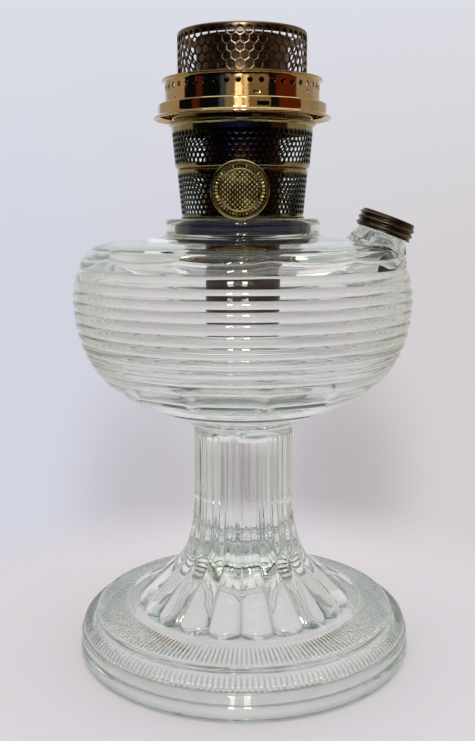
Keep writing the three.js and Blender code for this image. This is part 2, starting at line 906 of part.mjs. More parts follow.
function makeShaft() {
  return disc(raiser.shaftRadius, raiserInner - fitGap, faceBack - fitGap, smallSegments);
}

function makeKnob() {
  const bore = raiser.shaftRadius + fitGap;
  return turned([
    [bore, hubStart],
    [knob.hubRadius, hubStart],
    [knob.hubRadius, knobBack],
    [knob.radius - sheet / 2, knobBack],
    [knob.radius, knobBack + sheet / 2],
    [knob.radius, knobFront - sheet / 2],
    [knob.radius - knob.rimWidth / 2, knobFront],
    [knob.radius - knob.rimWidth, knobFront - sheet / 2],
    [knob.radius - knob.rimWidth, knobPlateFront],
    [bore, knobPlateFront],
  ]);
}

// Pressed face of the knob: a boss and a raised ring
function makeKnobFace() {
  const radius = knob.radius - knob.rimWidth - fitGap;
  const plain = faceBack + sheet;
  const raised = plain + knob.relief;
  return turned([
    [0, faceBack],
    [radius, faceBack],
    [radius, plain],
    [knob.beadRadius + knob.beadWidth, plain],
    [knob.beadRadius, raised],
    [knob.beadRadius - knob.beadWidth, plain],
    [knob.bossRadius + knob.relief, plain],
    [knob.bossRadius, raised],
    [0, raised],
  ]);
}

const spreaderTop = innerTubeTop + spreader.rise;

function makeThimble() {
  const radius = innerTubeBore - fitGap;
  const inner = radius - tubeWall;
  const wide = radius + spreader.flangeWidth;
  const flangeLow = innerTubeTop + fitGap;
  const rows = [
    { outer: radius, inner, height: innerTubeTop - spreader.depth },
    { outer: radius, inner, height: flangeLow },
    { outer: wide, inner, height: flangeLow },
    { outer: wide, inner, height: flangeLow + tubeWall },
    { outer: radius, inner, height: flangeLow + tubeWall },
    { outer: radius, inner, height: spreaderTop - tubeWall / 2 },
    { outer: radius, inner, height: spreaderTop },
  ];
  return perforatedWall(rows, smallSegments, staggered(4, 5));
}

function makeSpreaderCap() {
  return turned([
    [0, spreaderTop],
    [spreader.capRadius, spreaderTop],
    [spreader.capRadius, spreaderTop + sheet],
    [spreader.capRadius / 2, spreaderTop + sheet + spreader.capCrown * 3 / 4],
    [0, spreaderTop + sheet + spreader.capCrown],
  ]);
}

const ringFoot = seatTop - gallery.grooveDepth;

// Gallery flange: flared edge, step, the chimney's seat and the shallow groove that the wall stands in
function makeGalleryFlange() {
  const seatInner = gallery.crownRadius + fitGap;
  const wallInner = gallery.ringRadius - sheet - fitGap;
  const stepFoot = seatTop - gallery.stepHeight;
  const flangeFoot = stepFoot - gallery.flangeDrop;
  return turned([
    [gallery.flangeRadius - sheet, flangeFoot],
    [gallery.flangeRadius, flangeFoot],
    [gallery.flangeRadius, flangeFoot + sheet],
    [gallery.stepRadius, stepFoot],
    [gallery.stepRadius, seatTop],
    [gallery.ringRadius + fitGap, seatTop],
    [gallery.ringRadius + fitGap, ringFoot],
    [wallInner, ringFoot],
    [wallInner, seatTop],
    [seatInner, seatTop],
    [seatInner, crownFlangeTop],
    [gallery.stepRadius - sheet, crownFlangeTop],
    [gallery.stepRadius - sheet, stepFoot - sheet / 2],
  ], wallColumns);
}

// Gallery ring: the wall round the chimney's heel, with its row of air holes and flared lip
function makeGalleryRing() {
  const plain = { outer: gallery.ringRadius, inner: gallery.ringRadius - sheet };
  const flared = { outer: gallery.lipRadius, inner: gallery.lipRadius - sheet };
  const wallTop = seatTop + gallery.ringHeight;
  const rows = [
    { ...plain, height: ringFoot },
    { ...plain, height: seatTop + gallery.holeRow - gallery.holeSize / 2 },
    { ...plain, height: seatTop + gallery.holeRow + gallery.holeSize / 2 },
    { ...plain, height: wallTop - gallery.lipRise },
    { ...flared, height: wallTop },
    { ...flared, height: wallTop + sheet },
  ];
  return perforatedWall(rows, wallColumns, staggered(1, 2));
}

function makeCrown() {
  const radius = gallery.crownRadius;
  const top = seatTop + gallery.crownHeight;
  const rimFoot = top - gallery.crownRim;
  const low = seatTop + gallery.crownFootMargin;
  const rows = [
    { outer: radius + gallery.crownFoot, inner: radius - sheet, height: coneFlangeTop },
    { outer: radius + gallery.crownFoot, inner: radius - sheet, height: crownFlangeTop },
    { outer: radius, inner: radius - sheet, height: crownFlangeTop },
    ...wallRows(gallery.crownRows, radius, radius, low, rimFoot, sheet),
    { outer: radius, inner: radius - sheet, height: top - gallery.crownEase },
    { outer: radius - gallery.crownEase, inner: radius - gallery.crownEase - sheet, height: top },
  ];
  return perforatedWall(rows, wallColumns, staggered(3, 3 + gallery.crownRows));
}

// Slip collar that carries the gallery's pieces on the burner
function makeGalleryCollar() {
  const lipInner = burner.collarRadius + fitGap;
  const lipFoot = galleryFootZ - gallery.lipDepth;
  const bore = gallery.coneSpread - sheet;
  return turned([
    [lipInner, lipFoot],
    [lipInner + sheet, lipFoot],
    [lipInner + sheet, coneFlangeTop],
    [bore, coneFlangeTop],
    [bore, galleryFootZ],
    [lipInner, galleryFootZ],
  ], wallColumns);
}

function makeCone() {
  const neck = seatTop + gallery.coneNeck;
  const top = seatTop + gallery.coneHeight;
  return turned([
    [gallery.coneSpread, coneFlangeTop],
    [gallery.coneRadius, neck],
    [gallery.coneRadius, top],
    [gallery.coneRadius - sheet, top],
    [gallery.coneRadius - sheet, neck],
    [gallery.coneSpread - sheet, coneFlangeTop],
  ], wallColumns);
}

// Screw cap of rolled sheet, in the filler's own frame
function makeCap() {
  const inner = cap.radius - sheet;
  const threadTop = cap.height - cap.topEase;
  const thread = filler.threadDepth;
  const inside = threadRows(0, capInnerTop - sheet, filler.pitch, { radius: inner, thread });
  const rows = [
    ...threadRows(0, threadTop, filler.pitch, { radius: cap.radius, thread }),
    { height: cap.height, radius: cap.radius - cap.topEase },
    { height: cap.height, radius: 0 },
    { height: capInnerTop, radius: 0 },
    { height: capInnerTop, radius: inner },
    ...inside.reverse(),
  ];
  return ringed(rows, smallSegments, threadedRadius(filler.pitch));
}

function makeGasket() {
  const radius = cap.radius - sheet - fitGap;
  return disc(radius, gasketBottom, gasketBottom + cap.gasketThickness, smallSegments);
}

addPiece('foot', makeFoot(), finish.glass);
addPiece('font', makeFont(), finish.glass);
addPiece('burner_neck', makeBurnerNeck(), finish.glass);
addPiece('filler_neck', makeFillerNeck(), finish.glass);
addPiece('font_collar', makeCollar(), finish.brass);
addPiece('collar_cement', ring(joint.collarRadius + fitGap, neckBore - fitGap, ledgeTop, collarTop - sheet),
  finish.plaster);

const burnerGroup = addGroup();
addPiece('burner_washer', ring(joint.radius + joint.threadDepth + sheet, joint.collarRadius,
  collarTop + fitGap, washerTop), finish.cork, burnerGroup);
addPiece('burner_base', makeBurnerBase(), finish.patina, burnerGroup);
addPiece('lower_basket', makeLowerBasket(), finish.patina, burnerGroup);
addPiece('upper_basket', makeUpperBasket(), finish.patina, burnerGroup);
addPiece('outer_wick_tube', makeOuterTube(), finish.brass, burnerGroup);
addPiece('inner_wick_tube', makeInnerTube(), finish.brass, burnerGroup);
addPiece('inner_tube_bottom', makeTubeBottom(), finish.brass, burnerGroup);
addPiece('air_duct_right', makeDuct(1), finish.brass, burnerGroup);
addPiece('air_duct_left', makeDuct(-1), finish.brass, burnerGroup);
addPiece('raiser_bracket', makeBracket(), finish.brass, burnerGroup);

const wickGroup = addGroup(burnerGroup);
addPiece('wick', makeWick(), finish.cotton, wickGroup);
addPiece('wick_carrier', makeCarrier(), finish.brass, wickGroup);

const shaftGroup = addGroup(burnerGroup);
shaftGroup.position.z = shaftHeight;
shaftGroup.rotation.x = Math.PI / 2;
addPiece('shaft_bush', makeBush(), finish.brass, shaftGroup);
addPiece('knob_shaft', makeShaft(), finish.steel, shaftGroup);
addPiece('wick_pinion', gearPlate(pinionShape()), finish.brass, shaftGroup);
addPiece('wick_knob', makeKnob(), finish.bronze, shaftGroup);
addPiece('knob_face', makeKnobFace(), finish.bronze, shaftGroup);

const spreaderGroup = addGroup(burnerGroup);
addPiece('spreader_thimble', makeThimble(), finish.brass, spreaderGroup);
addPiece('spreader_cap', makeSpreaderCap(), finish.brass, spreaderGroup);

const galleryGroup = addGroup(burnerGroup);
addPiece('gallery_collar', makeGalleryCollar(), finish.patina, galleryGroup);
addPiece('gallery_flange', makeGalleryFlange(), finish.brass, galleryGroup);
addPiece('gallery_ring', makeGalleryRing(), finish.brass, galleryGroup);
addPiece('gallery_crown', makeCrown(), finish.bronze, galleryGroup);
addPiece('gallery_cone', makeCone(), finish.brass, galleryGroup);

const capGroup = addGroup();
capGroup.position.set(fillerReach, 0, fillerHeight);
capGroup.rotation.y = filler.lean;
addPiece('cap_gasket', makeGasket(), finish.cork, capGroup);
addPiece('filler_cap', makeCap(), finish.black, capGroup);

export default lamp;
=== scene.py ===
import math

import bpy
import numpy as np
from mathutils import Matrix, Vector, noise


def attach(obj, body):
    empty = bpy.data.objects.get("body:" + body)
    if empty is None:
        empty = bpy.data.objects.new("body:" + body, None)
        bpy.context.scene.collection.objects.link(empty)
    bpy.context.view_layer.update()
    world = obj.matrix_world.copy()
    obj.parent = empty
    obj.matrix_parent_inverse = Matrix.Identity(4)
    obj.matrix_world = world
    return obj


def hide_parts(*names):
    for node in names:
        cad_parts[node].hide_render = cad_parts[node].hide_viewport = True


# pressed-glass oil lamp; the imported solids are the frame, and the sizes of pieces are in millimetres
mm = 0.001
fullTurn = math.tau

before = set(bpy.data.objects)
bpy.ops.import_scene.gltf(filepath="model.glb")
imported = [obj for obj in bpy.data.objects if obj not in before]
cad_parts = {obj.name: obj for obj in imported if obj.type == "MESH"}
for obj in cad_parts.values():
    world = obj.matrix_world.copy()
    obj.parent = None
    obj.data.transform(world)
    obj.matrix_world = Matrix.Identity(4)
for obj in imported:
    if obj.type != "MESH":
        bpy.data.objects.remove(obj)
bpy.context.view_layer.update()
scene = bpy.context.scene
print("frame loaded,", len(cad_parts), "solids")


# small tools for shaping

weldGaps = {"turned": 2e-6, "sheet": 2e-5}  # metres
easing = {"steps": 3, "shortest": 0.02, "straight": 2.8, "share": 0.45}


def clearSelection():
    if bpy.context.mode != "OBJECT":
        bpy.ops.object.mode_set(mode="OBJECT")
    bpy.ops.object.select_all(action="DESELECT")


def selectOnly(piece):
    clearSelection()
    bpy.context.view_layer.objects.active = piece
    piece.select_set(True)


def editAll():
    bpy.ops.object.mode_set(mode="EDIT")
    bpy.ops.mesh.select_all(action="SELECT")


def leaveEdit():
    bpy.ops.object.mode_set(mode="OBJECT")


def editChosen(piece, kind, chosen):
    selectOnly(piece)
    bpy.ops.object.mode_set(mode="EDIT")
    bpy.ops.mesh.select_all(action="DESELECT")
    bpy.ops.mesh.select_mode(type=kind)
    leaveEdit()
    elements = piece.data.edges if kind == "EDGE" else piece.data.vertices
    elements.foreach_set("select", chosen)
    bpy.ops.object.mode_set(mode="EDIT")


def namePiece(name):
    piece = bpy.context.active_object
    piece.name = name
    piece.data.name = name
    return piece


def eased(outline, ease):
    rounded = []
    count = len(outline)
    for at, (radius, height) in enumerate(outline):
        here = Vector((radius, height))
        toBefore = Vector(outline[at - 1]) - here
        toAfter = Vector(outline[(at + 1) % count]) - here
        shortest = min(toBefore.length, toAfter.length)
        if shortest < easing["shortest"] or toBefore.angle(toAfter) > easing["straight"]:
            rounded.append((radius, height))
            continue
        cut = min(ease, toBefore.length * easing["share"], toAfter.length * easing["share"])
        start = here + toBefore.normalized() * cut
        end = here + toAfter.normalized() * cut
        for step in range(easing["steps"] + 1):
            share = step / easing["steps"]
            point = start.lerp(here, share).lerp(here.lerp(end, share), share)
            rounded.append((point.x, point.y))
    return rounded


def smoothLine(points, spacing):
    line = []
    count = len(points)
    for at in range(count - 1):
        p0 = np.array(points[max(at - 1, 0)])
        p1, p2 = np.array(points[at]), np.array(points[at + 1])
        p3 = np.array(points[min(at + 2, count - 1)])
        pieces = max(2, round(float(np.linalg.norm(p2 - p1)) / spacing))
        for step in range(pieces):
            t = step / pieces
            line.append(tuple(0.5 * (2 * p1 + (p2 - p0) * t + (2 * p0 - 5 * p1 + 4 * p2 - p3) * t * t
                                     + (3 * p1 - p0 - 3 * p2 + p3) * t ** 3)))
    line.append(tuple(points[-1]))
    return line


def turnOutline(name, outline, steps=96, closed=True):
    clearSelection()
    bpy.ops.mesh.primitive_plane_add(size=mm, location=(0, 0, 0))
    piece = namePiece(name)
    editAll()
    bpy.ops.mesh.merge(type="CENTER")
    bpy.ops.transform.translate(value=(outline[0][0] * mm, 0, outline[0][1] * mm))
    path = list(outline) + ([outline[0]] if closed else [])
    for (radius, height), (nextRadius, nextHeight) in zip(path, path[1:]):
        step = ((nextRadius - radius) * mm, 0, (nextHeight - height) * mm)
        bpy.ops.mesh.extrude_region_move(TRANSFORM_OT_translate={"value": step})
    bpy.ops.mesh.select_all(action="SELECT")
    bpy.ops.mesh.spin(steps=steps, angle=fullTurn, center=(0, 0, 0), axis=(0, 0, 1))
    leaveEdit()
    weldPiece(piece, weldGaps["turned"])
    return piece


def weldPiece(piece, gap, turnNormals=True):
    selectOnly(piece)
    editAll()
    bpy.ops.mesh.remove_doubles(threshold=gap)
    if turnNormals:
        bpy.ops.mesh.normals_make_consistent(inside=False)
    leaveEdit()


def boxTool(name, size, place=(0, 0, 0)):
    clearSelection()
    bpy.ops.mesh.primitive_cube_add(size=mm, location=tuple(c * mm for c in place))
    return stretchTool(name, size)


def stretchTool(name, size):
    tool = namePiece(name)
    editAll()
    bpy.ops.transform.resize(value=size)
    leaveEdit()
    return tool


def moveOut(tool, turn, reach, height):
    tool.data.transform(Matrix.Rotation(math.radians(turn + 90), 4, "Z")
                        @ Matrix.Translation((0, -reach * mm, height * mm)))


def pointsOf(piece):
    flat = np.zeros(len(piece.data.vertices) * 3)
    piece.data.vertices.foreach_get("co", flat)
    return flat.reshape(-1, 3)


def setPoints(piece, points):
    piece.data.vertices.foreach_set("co", np.ascontiguousarray(points, dtype=float).ravel())
    piece.data.update()


def polar(points):
    return np.hypot(points[:, 0], points[:, 1]), np.arctan2(points[:, 1], points[:, 0])


def fromPolar(radii, angles, heights):
    return np.stack((radii * np.cos(angles), radii * np.sin(angles), heights), 1)


def pushOut(points, radii, swell):
    scale = (radii + swell) / np.maximum(radii, 1e-6)
    points[:, :2] *= scale[:, None]


def markPoints(piece, name, values):
    piece.data.attributes.new(name, "FLOAT", "POINT").data.foreach_set("value", values.astype(np.float32))


def applyModifiers(piece):
    selectOnly(piece)
    for modifier in list(piece.modifiers):
        bpy.ops.object.modifier_apply(modifier=modifier.name)


def cutWith(piece, tool, operation="DIFFERENCE"):
    modifier = piece.modifiers.new("cut", "BOOLEAN")
    modifier.operation = operation
    modifier.solver = "MANIFOLD"
    modifier.object = tool
    applyModifiers(piece)
    bpy.data.objects.remove(tool)


def finishPiece(piece, material, body, slot, *nodes, degrees=35):
    selectOnly(piece)
    bpy.ops.object.shade_smooth_by_angle(angle=math.radians(degrees))
    piece.data.materials.clear()
    piece.data.materials.append(material)
    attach(piece, body)
    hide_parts(*nodes)


# small tools for materials

def newMaterial(name, **values):
    material = bpy.data.materials.new(name)
    material.use_nodes = True
    shader = material.node_tree.nodes["Principled BSDF"]
    for socket, value in values.items():
        shader.inputs[socket.replace("_", " ")].default_value = value
    return material, shader


def addNode(material, kind, inputs=None, **settings):
    node = material.node_tree.nodes.new("ShaderNode" + kind)
    for key, value in settings.items():
        setattr(node, key, value)
    for key, value in (inputs or {}).items():
        if isinstance(value, bpy.types.NodeSocket):
            material.node_tree.links.new(value, node.inputs[key])
        else:
            node.inputs[key].default_value = value
    return node


def joinSockets(material, fromSocket, toSocket):
    material.node_tree.links.new(fromSocket, toSocket)


def mixColours(material, factor, first, second, blend="MIX"):
    return addNode(material, "Mix", {0: factor, 6: first, 7: second},
                   data_type="RGBA", blend_type=blend).outputs[2]


def remap(material, value, fromLow, fromHigh, toLow=0.0, toHigh=1.0, **settings):
    return addNode(material, "MapRange", {
        "Value": value, "From Min": fromLow, "From Max": fromHigh, "To Min": toLow, "To Max": toHigh,
    }, **settings).outputs[0]


def textureCoordinate(material, kind="Object"):
    return addNode(material, "TexCoord").outputs[kind]


def objectPlace(material, scale=(1, 1, 1)):
    return addNode(material, "Mapping", {
        "Vector": textureCoordinate(material), "Scale": scale}).outputs[0]


def noiseValue(material, place, scale, detail=4, rough=0.55):
    return addNode(material, "TexNoise", {
        "Vector": place, "Scale": scale, "Detail": detail, "Roughness": rough}).outputs["Fac"]


def attributeValue(material, name):
    return addNode(material, "Attribute", attribute_name=name).outputs["Fac"]


def math2(material, operation, first, second=0.0):
    return addNode(material, "Math", {0: first, 1: second}, operation=operation).outputs[0]


def addShare(material, first, second, share):
    return math2(material, "ADD", first, math2(material, "MULTIPLY", second, share))


def paint(material, shader, colour, roughness=None):
    joinSockets(material, colour, shader.inputs["Base Color"])
    if roughness is not None:
        joinSockets(material, roughness, shader.inputs["Roughness"])


def addBump(material, shader, height, strength, distance, **settings):
    bump = addNode(material, "Bump", {
        "Height": height, "Strength": strength, "Distance": distance}, **settings)
    joinSockets(material, bump.outputs[0], shader.inputs["Normal"])


# finishes

def glassFinish():
    look = {"tint": (0.985, 0.98, 0.975, 1), "grooveShadeColour": (0.38, 0.45, 0.39, 1),
            "deepShadeColour": (0.07, 0.13, 0.09, 1), "deepShadeFrom": 0.72, "roughness": 0.012, "ior": 1.5,
            "body": (0.62, 0.74, 0.66, 1), "density": 2.6, "shadow": (0.90, 0.91, 0.905, 1),
            "caught": (0.76, 0.805, 0.77, 1), "bounces": 2.5, "waves": 45, "seeds": 160.0,
            "seedSize": 0.08, "seedShare": 0.06, "bump": 0.2, "bumpDepth": 0.0012, "smears": 18}
    material, shader = newMaterial("pressedGlass", Roughness=look["roughness"], IOR=look["ior"],
                                   Transmission_Weight=1.0)
    place = objectPlace(material)
    grooveShade = attributeValue(material, "grooveShade")
    base = mixColours(material, grooveShade, look["tint"], look["grooveShadeColour"])  # painted shade: grooves, creases, rims and seams are tinted grey-green in the base colour
    # painted darker shade where the groove shade is strongest
    base = mixColours(material, remap(material, grooveShade, look["deepShadeFrom"], 1.0), base, look["deepShadeColour"])
    smears = remap(material, noiseValue(material, place, look["smears"], 5), 0.45, 0.75, 0.008, 0.04)
    paint(material, shader, base, smears)
    seeds = addNode(material, "TexVoronoi", {"Vector": place, "Scale": look["seeds"]})
    seedSpots = remap(material, seeds.outputs["Distance"], 0.0, look["seedSize"], 1.0, 0.0)
    waves = noiseValue(material, place, look["waves"], 2, 0.4)
    addBump(material, shader, addShare(material, waves, seedSpots, look["seedShare"]),
            look["bump"], look["bumpDepth"])
    # lamps shine through the glass, so the floor gets a soft pale shadow
    through = addNode(material, "BsdfTransparent", {"Color": look["shadow"]})
    rays = addNode(material, "LightPath")
    deep = math2(material, "GREATER_THAN", rays.outputs["Glossy Depth"], look["bounces"])
    # light that is caught inside the glass gets out after a few bounces
    caught = addNode(material, "BsdfTransparent", {"Color": look["caught"]})
    passing = addNode(material, "MixShader", {0: deep, 1: shader.outputs[0], 2: caught.outputs[0]})
    mix = addNode(material, "MixShader", {
        0: rays.outputs["Is Shadow Ray"], 1: passing.outputs[0], 2: through.outputs[0]})
    output = material.node_tree.nodes["Material Output"]
    joinSockets(material, mix.outputs[0], output.inputs["Surface"])
    absorption = addNode(material, "VolumeAbsorption",
                         {"Color": look["body"], "Density": look["density"]})
    joinSockets(material, absorption.outputs[0], output.inputs["Volume"])
    return material


metalGrain = {"clouds": 55, "fine": 420, "bump": 0.25, "bumpDepth": 0.0002,
              "rings": (30, 30, 2600), "ringShare": 0.8, "speckTop": 0.3, "speckShade": 0.35}


def metalFinish(name, colour, stain, roughness, stainAmount=(0.42, 0.72), grain=1.0, rings=True, shadeColour=None):
    material, shader = newMaterial(name, Metallic=1.0)
    place = objectPlace(material)
    cloud = noiseValue(material, place, metalGrain["clouds"], 6, 0.6)
    fine = noiseValue(material, place, metalGrain["fine"], 4, 0.6)
    stains = remap(material, cloud, *stainAmount)
    base = mixColours(material, stains, colour, stain)
    specks = remap(material, fine, 0.66, 0.8, 0.0, metalGrain["speckTop"])
    base = mixColours(material, specks, base, tuple(c * metalGrain["speckShade"] for c in stain[:3]) + (1,))
    # painted shade: points in the shade band take the dark shade colour
    if shadeColour:
        base = mixColours(material, attributeValue(material, "shadeBand"), base, shadeColour)
    spread = addShare(material, math2(material, "MULTIPLY", stains, 0.6), fine, 0.4)
    paint(material, shader, base, remap(material, spread, 0.1, 0.9, *roughness))
    height = fine
    if rings:  # fine turning marks that run round the lamp
        marks = noiseValue(material, objectPlace(material, metalGrain["rings"]), 1.0, 2, 0.5)
        height = addShare(material, fine, marks, metalGrain["ringShare"])
    addBump(material, shader, height, metalGrain["bump"] * grain, metalGrain["bumpDepth"])
    return material


def matteFinish(name, colour, dark, roughness, scale, strength, streaks=1, gloss=0.5):
    material, shader = newMaterial(name, Specular_IOR_Level=gloss)
    place = objectPlace(material, (1, 1, streaks))
    cloud = noiseValue(material, place, scale, 6, 0.65)
    paint(material, shader, mixColours(material, remap(material, cloud, 0.35, 0.7), colour, dark),
          remap(material, cloud, 0.3, 0.7, roughness - 0.08, roughness + 0.06))
    addBump(material, shader, noiseValue(material, place, scale * 6, 4, 0.7), strength, 0.0003)
    return material


def wornFinish(name, look):
    material, shader = newMaterial(name, Metallic=1.0)
    place = objectPlace(material)
    cloud = noiseValue(material, place, look["clouds"], 5, look["cloudRough"])
    marked = math2(material, "MULTIPLY", attributeValue(material, look["mark"]), look["markShare"])
    worn = remap(material, addShare(material, marked, cloud, look["cloudShare"]), *look["worn"])
    paint(material, shader, mixColours(material, worn, look["dark"], look["bright"]),
          remap(material, cloud, *look["roughness"]))
    addBump(material, shader, noiseValue(material, place, look["fine"], 4, 0.6), look["bump"], 0.0002)
    return material


def cottonFinish():
    look = {"char": (0.05, 0.04, 0.03, 1), "charFrom": 0.2600, "charTo": 0.2676, "charTop": 0.9}
    material, shader = newMaterial("wovenCotton", Sheen_Weight=0.3, Roughness=0.92)
    weave = addNode(material, "TexBrick", {
        "Vector": textureCoordinate(material, "UV"), "Color1": (0.80, 0.75, 0.62, 1),
        "Color2": (0.70, 0.64, 0.50, 1), "Mortar": (0.42, 0.36, 0.25, 1), "Scale": 1.0,
        "Mortar Size": 0.12, "Mortar Smooth": 0.8, "Brick Width": 1.0, "Row Height": 0.55})
    height = addNode(material, "SeparateXYZ", {0: textureCoordinate(material)}).outputs[2]
    charred = remap(material, height, look["charFrom"], look["charTo"], 0.0, look["charTop"])
    paint(material, shader, mixColours(material, charred, weave.outputs["Color"], look["char"]))
    addBump(material, shader, weave.outputs["Fac"], 0.7, 0.0003, invert=True)
    return material


glass = glassFinish()
brass = metalFinish("polishedBrass", (0.62, 0.45, 0.23, 1), (0.40, 0.26, 0.11, 1), (0.05, 0.14),
                    (0.52, 0.82), 0.4)
bronze = metalFinish("brownBrass", (0.20, 0.145, 0.09, 1), (0.08, 0.045, 0.03, 1), (0.22, 0.36),
                     shadeColour=(0.02, 0.015, 0.012, 1))
patina = metalFinish("olivePatina", (0.40, 0.335, 0.18, 1), (0.17, 0.13, 0.06, 1), (0.09, 0.20),
                     (0.54, 0.82), 0.5, shadeColour=(0.07, 0.08, 0.07, 1))
# painted shade: the outer wick tube, seen inside the font, is brass painted near-black
shadedTubeBrass = metalFinish("shadedTubeBrass", (0.05, 0.022, 0.012, 1), (0.012, 0.008, 0.012, 1), (0.40, 0.60))
collarBrass = metalFinish("collarBrass", (0.15, 0.115, 0.07, 1), (0.05, 0.04, 0.03, 1), (0.18, 0.36))
innerBrass = metalFinish("dullBrass", (0.52, 0.38, 0.17, 1), (0.22, 0.15, 0.07, 1), (0.25, 0.45), rings=False)
steel = metalFinish("turnedSteel", (0.45, 0.44, 0.42, 1), (0.20, 0.16, 0.12, 1), (0.22, 0.45), rings=False)
leather = matteFinish("pressedLeather", (0.30, 0.19, 0.09, 1), (0.16, 0.09, 0.04, 1), 0.75, 240, 0.5)
plaster = matteFinish("setPlaster", (0.010, 0.010, 0.022, 1), (0.001, 0.001, 0.012, 1), 0.6, 34, 0.6, 14, 0.1)
cork = matteFinish("pressedCork", (0.70, 0.60, 0.46, 1), (0.50, 0.40, 0.28, 1), 0.8, 300, 0.7)
cotton = cottonFinish()
print("finishes mixed")


# pressed glass: foot, stem, font, burner neck and filler neck in one piece

glassSizes = {
    "steps": 240, "finerSteps": 4, "underRows": 60, "shoulderRows": 25, "topRows": 9, "shoulderSpan": 11,
    "spacing": {"bell": 3.0, "neck": 1.1, "inside": 6.0, "hollow": 4.6},
    "panels": 12, "panelTurn": 10.5, "ribDepth": 0.85, "riseAtNodes": 1.9, "dropAtNodes": 2.4,
    "underPoints": 80, "creaseAbove": 5.4, "creaseDip": 3.4, "creaseDepth": 0.38,
    "flutes": 20, "toeDepth": 3.8,
    "footRibs": 200, "footRibDepth": 0.75, "ledgeRibDepth": 0.6,
}
mould = {"seams": 6, "turn": 48.0, "width": 0.3, "depth": 0.45, "waist": 110.6}
footEdge = [(76.0, 0.0), (80.2, 0.0), (81.1, 0.4), (81.5, 1.4), (81.5, 3.4), (81.35, 5.4), (81.0, 6.4),
            (80.5, 6.95), (80.35, 7.4), (80.7, 7.9), (81.1, 8.7), (81.1, 10.2), (80.85, 11.4), (80.3, 12.1),
            (79.75, 12.5), (79.6, 13.0)]
ledge = [(79.9, 13.7), (79.6, 14.9), (78.9, 15.9), (77.9, 16.8), (76.7, 17.4), (75.3, 17.85), (74.1, 18.05)]
ledgeStep = [(73.6, 18.15), (73.35, 18.6), (73.3, 19.5), (73.2, 20.5), (72.8, 21.0)]
ribRing = [(72.2, 21.25), (70.0, 21.65), (67.6, 22.05), (65.2, 22.45), (62.8, 22.85), (60.4, 23.25),
           (58.4, 23.55)]
plainRing = [(57.6, 23.6), (56.9, 23.35), (55.8, 23.15), (54.6, 23.1), (53.2, 23.1)]
bell = [(52.2, 23.3), (51.9, 24.2), (51.2, 26.0), (48.9, 28.4), (44.5, 32.4), (40.1, 36.5), (34.8, 40.9),
        (30.6, 46.0), (27.9, 52.4), (25.6, 62.0), (24.4, 72.0), (24.1, 86.0), (24.0, 100.0), (24.15, 109.2)]
bowl = [(24.6, 110.4), (25.4, 112.0), (26.9, 114.2), (30.4, 116.3), (38.5, 119.1), (47.5, 122.8),
        (59.2, 129.3), (66.3, 134.9), (69.9, 138.9), (73.0, 143.9), (75.2, 148.3), (76.9, 152.6),
        (78.3, 157.4),
        (79.4, 162.6), (80.0, 167.3), (80.3, 173.3), (79.6, 181.2), (77.7, 188.1), (75.6, 192.6),
        (71.4, 196.8), (66.0, 199.2), (52.0, 201.2), (38.6, 202.3)]
burnerNeck = [(37.2, 202.6), (36.3, 203.4), (36.05, 204.6), (36.2, 206.2), (36.4, 208.0), (36.1, 209.2),
              (35.6, 210.1), (34.8, 210.5), (33.4, 210.5), (32.7, 210.2), (32.4, 209.6)]
grooveHeights = [130.9, 137.9, 141.8, 145.5, 149.6, 154.3, 159.4, 164.4, 169.4, 174.2, 178.7, 183.4, 188.4,
                 193.2]
underGrooves = [(47.8, 1.0), (33.5, 0.8)]  # radius and depth of the two rings under the bowl
inside = [(32.4, 202.5), (29.9, 202.4), (29.9, 197.4), (46.0, 196.8), (60.0, 195.2), (66.6, 192.8),
          (71.2, 189.2), (73.6, 185.0), (75.2, 180.0), (75.7, 173.3), (75.4, 167.3), (74.7, 162.6),
          (73.4, 157.4),
          (71.8, 152.6), (69.8, 148.3), (67.4, 144.2), (64.2, 140.2), (60.0, 136.4), (53.0, 131.2),
          (43.0, 124.8), (30.0, 118.9), (15.0, 115.8), (0.0, 115.2)]
footHollow = [(0.0, 42.6), (5.0, 42.4), (10.0, 41.8), (15.0, 40.6), (20.0, 38.7), (25.0, 36.2), (30.5, 32.8),
              (38.0, 26.8), (45.5, 19.4), (57.0, 15.0), (68.6, 12.0), (73.4, 9.4), (75.0, 6.0), (75.6, 2.0)]


def distances(points):
    gaps = np.hypot(*np.diff(np.array(points), axis=0).T)
    return np.concatenate(([0.0], np.cumsum(gaps)))


bowlLine = smoothLine(bowl, 0.5)
bowlAlong = distances(bowlLine)
bowlRadii, bowlHeights = np.array(bowlLine).T
grooveAlong = np.interp(grooveHeights, bowlHeights, bowlAlong)


def bowlNormal(along):
    step = 0.4
    dr = np.interp(along + step, bowlAlong, bowlRadii) - np.interp(along - step, bowlAlong, bowlRadii)
    dz = np.interp(along + step, bowlAlong, bowlHeights) - np.interp(along - step, bowlAlong, bowlHeights)
    size = np.hypot(dr, dz)
    return dz / size, -dr / size


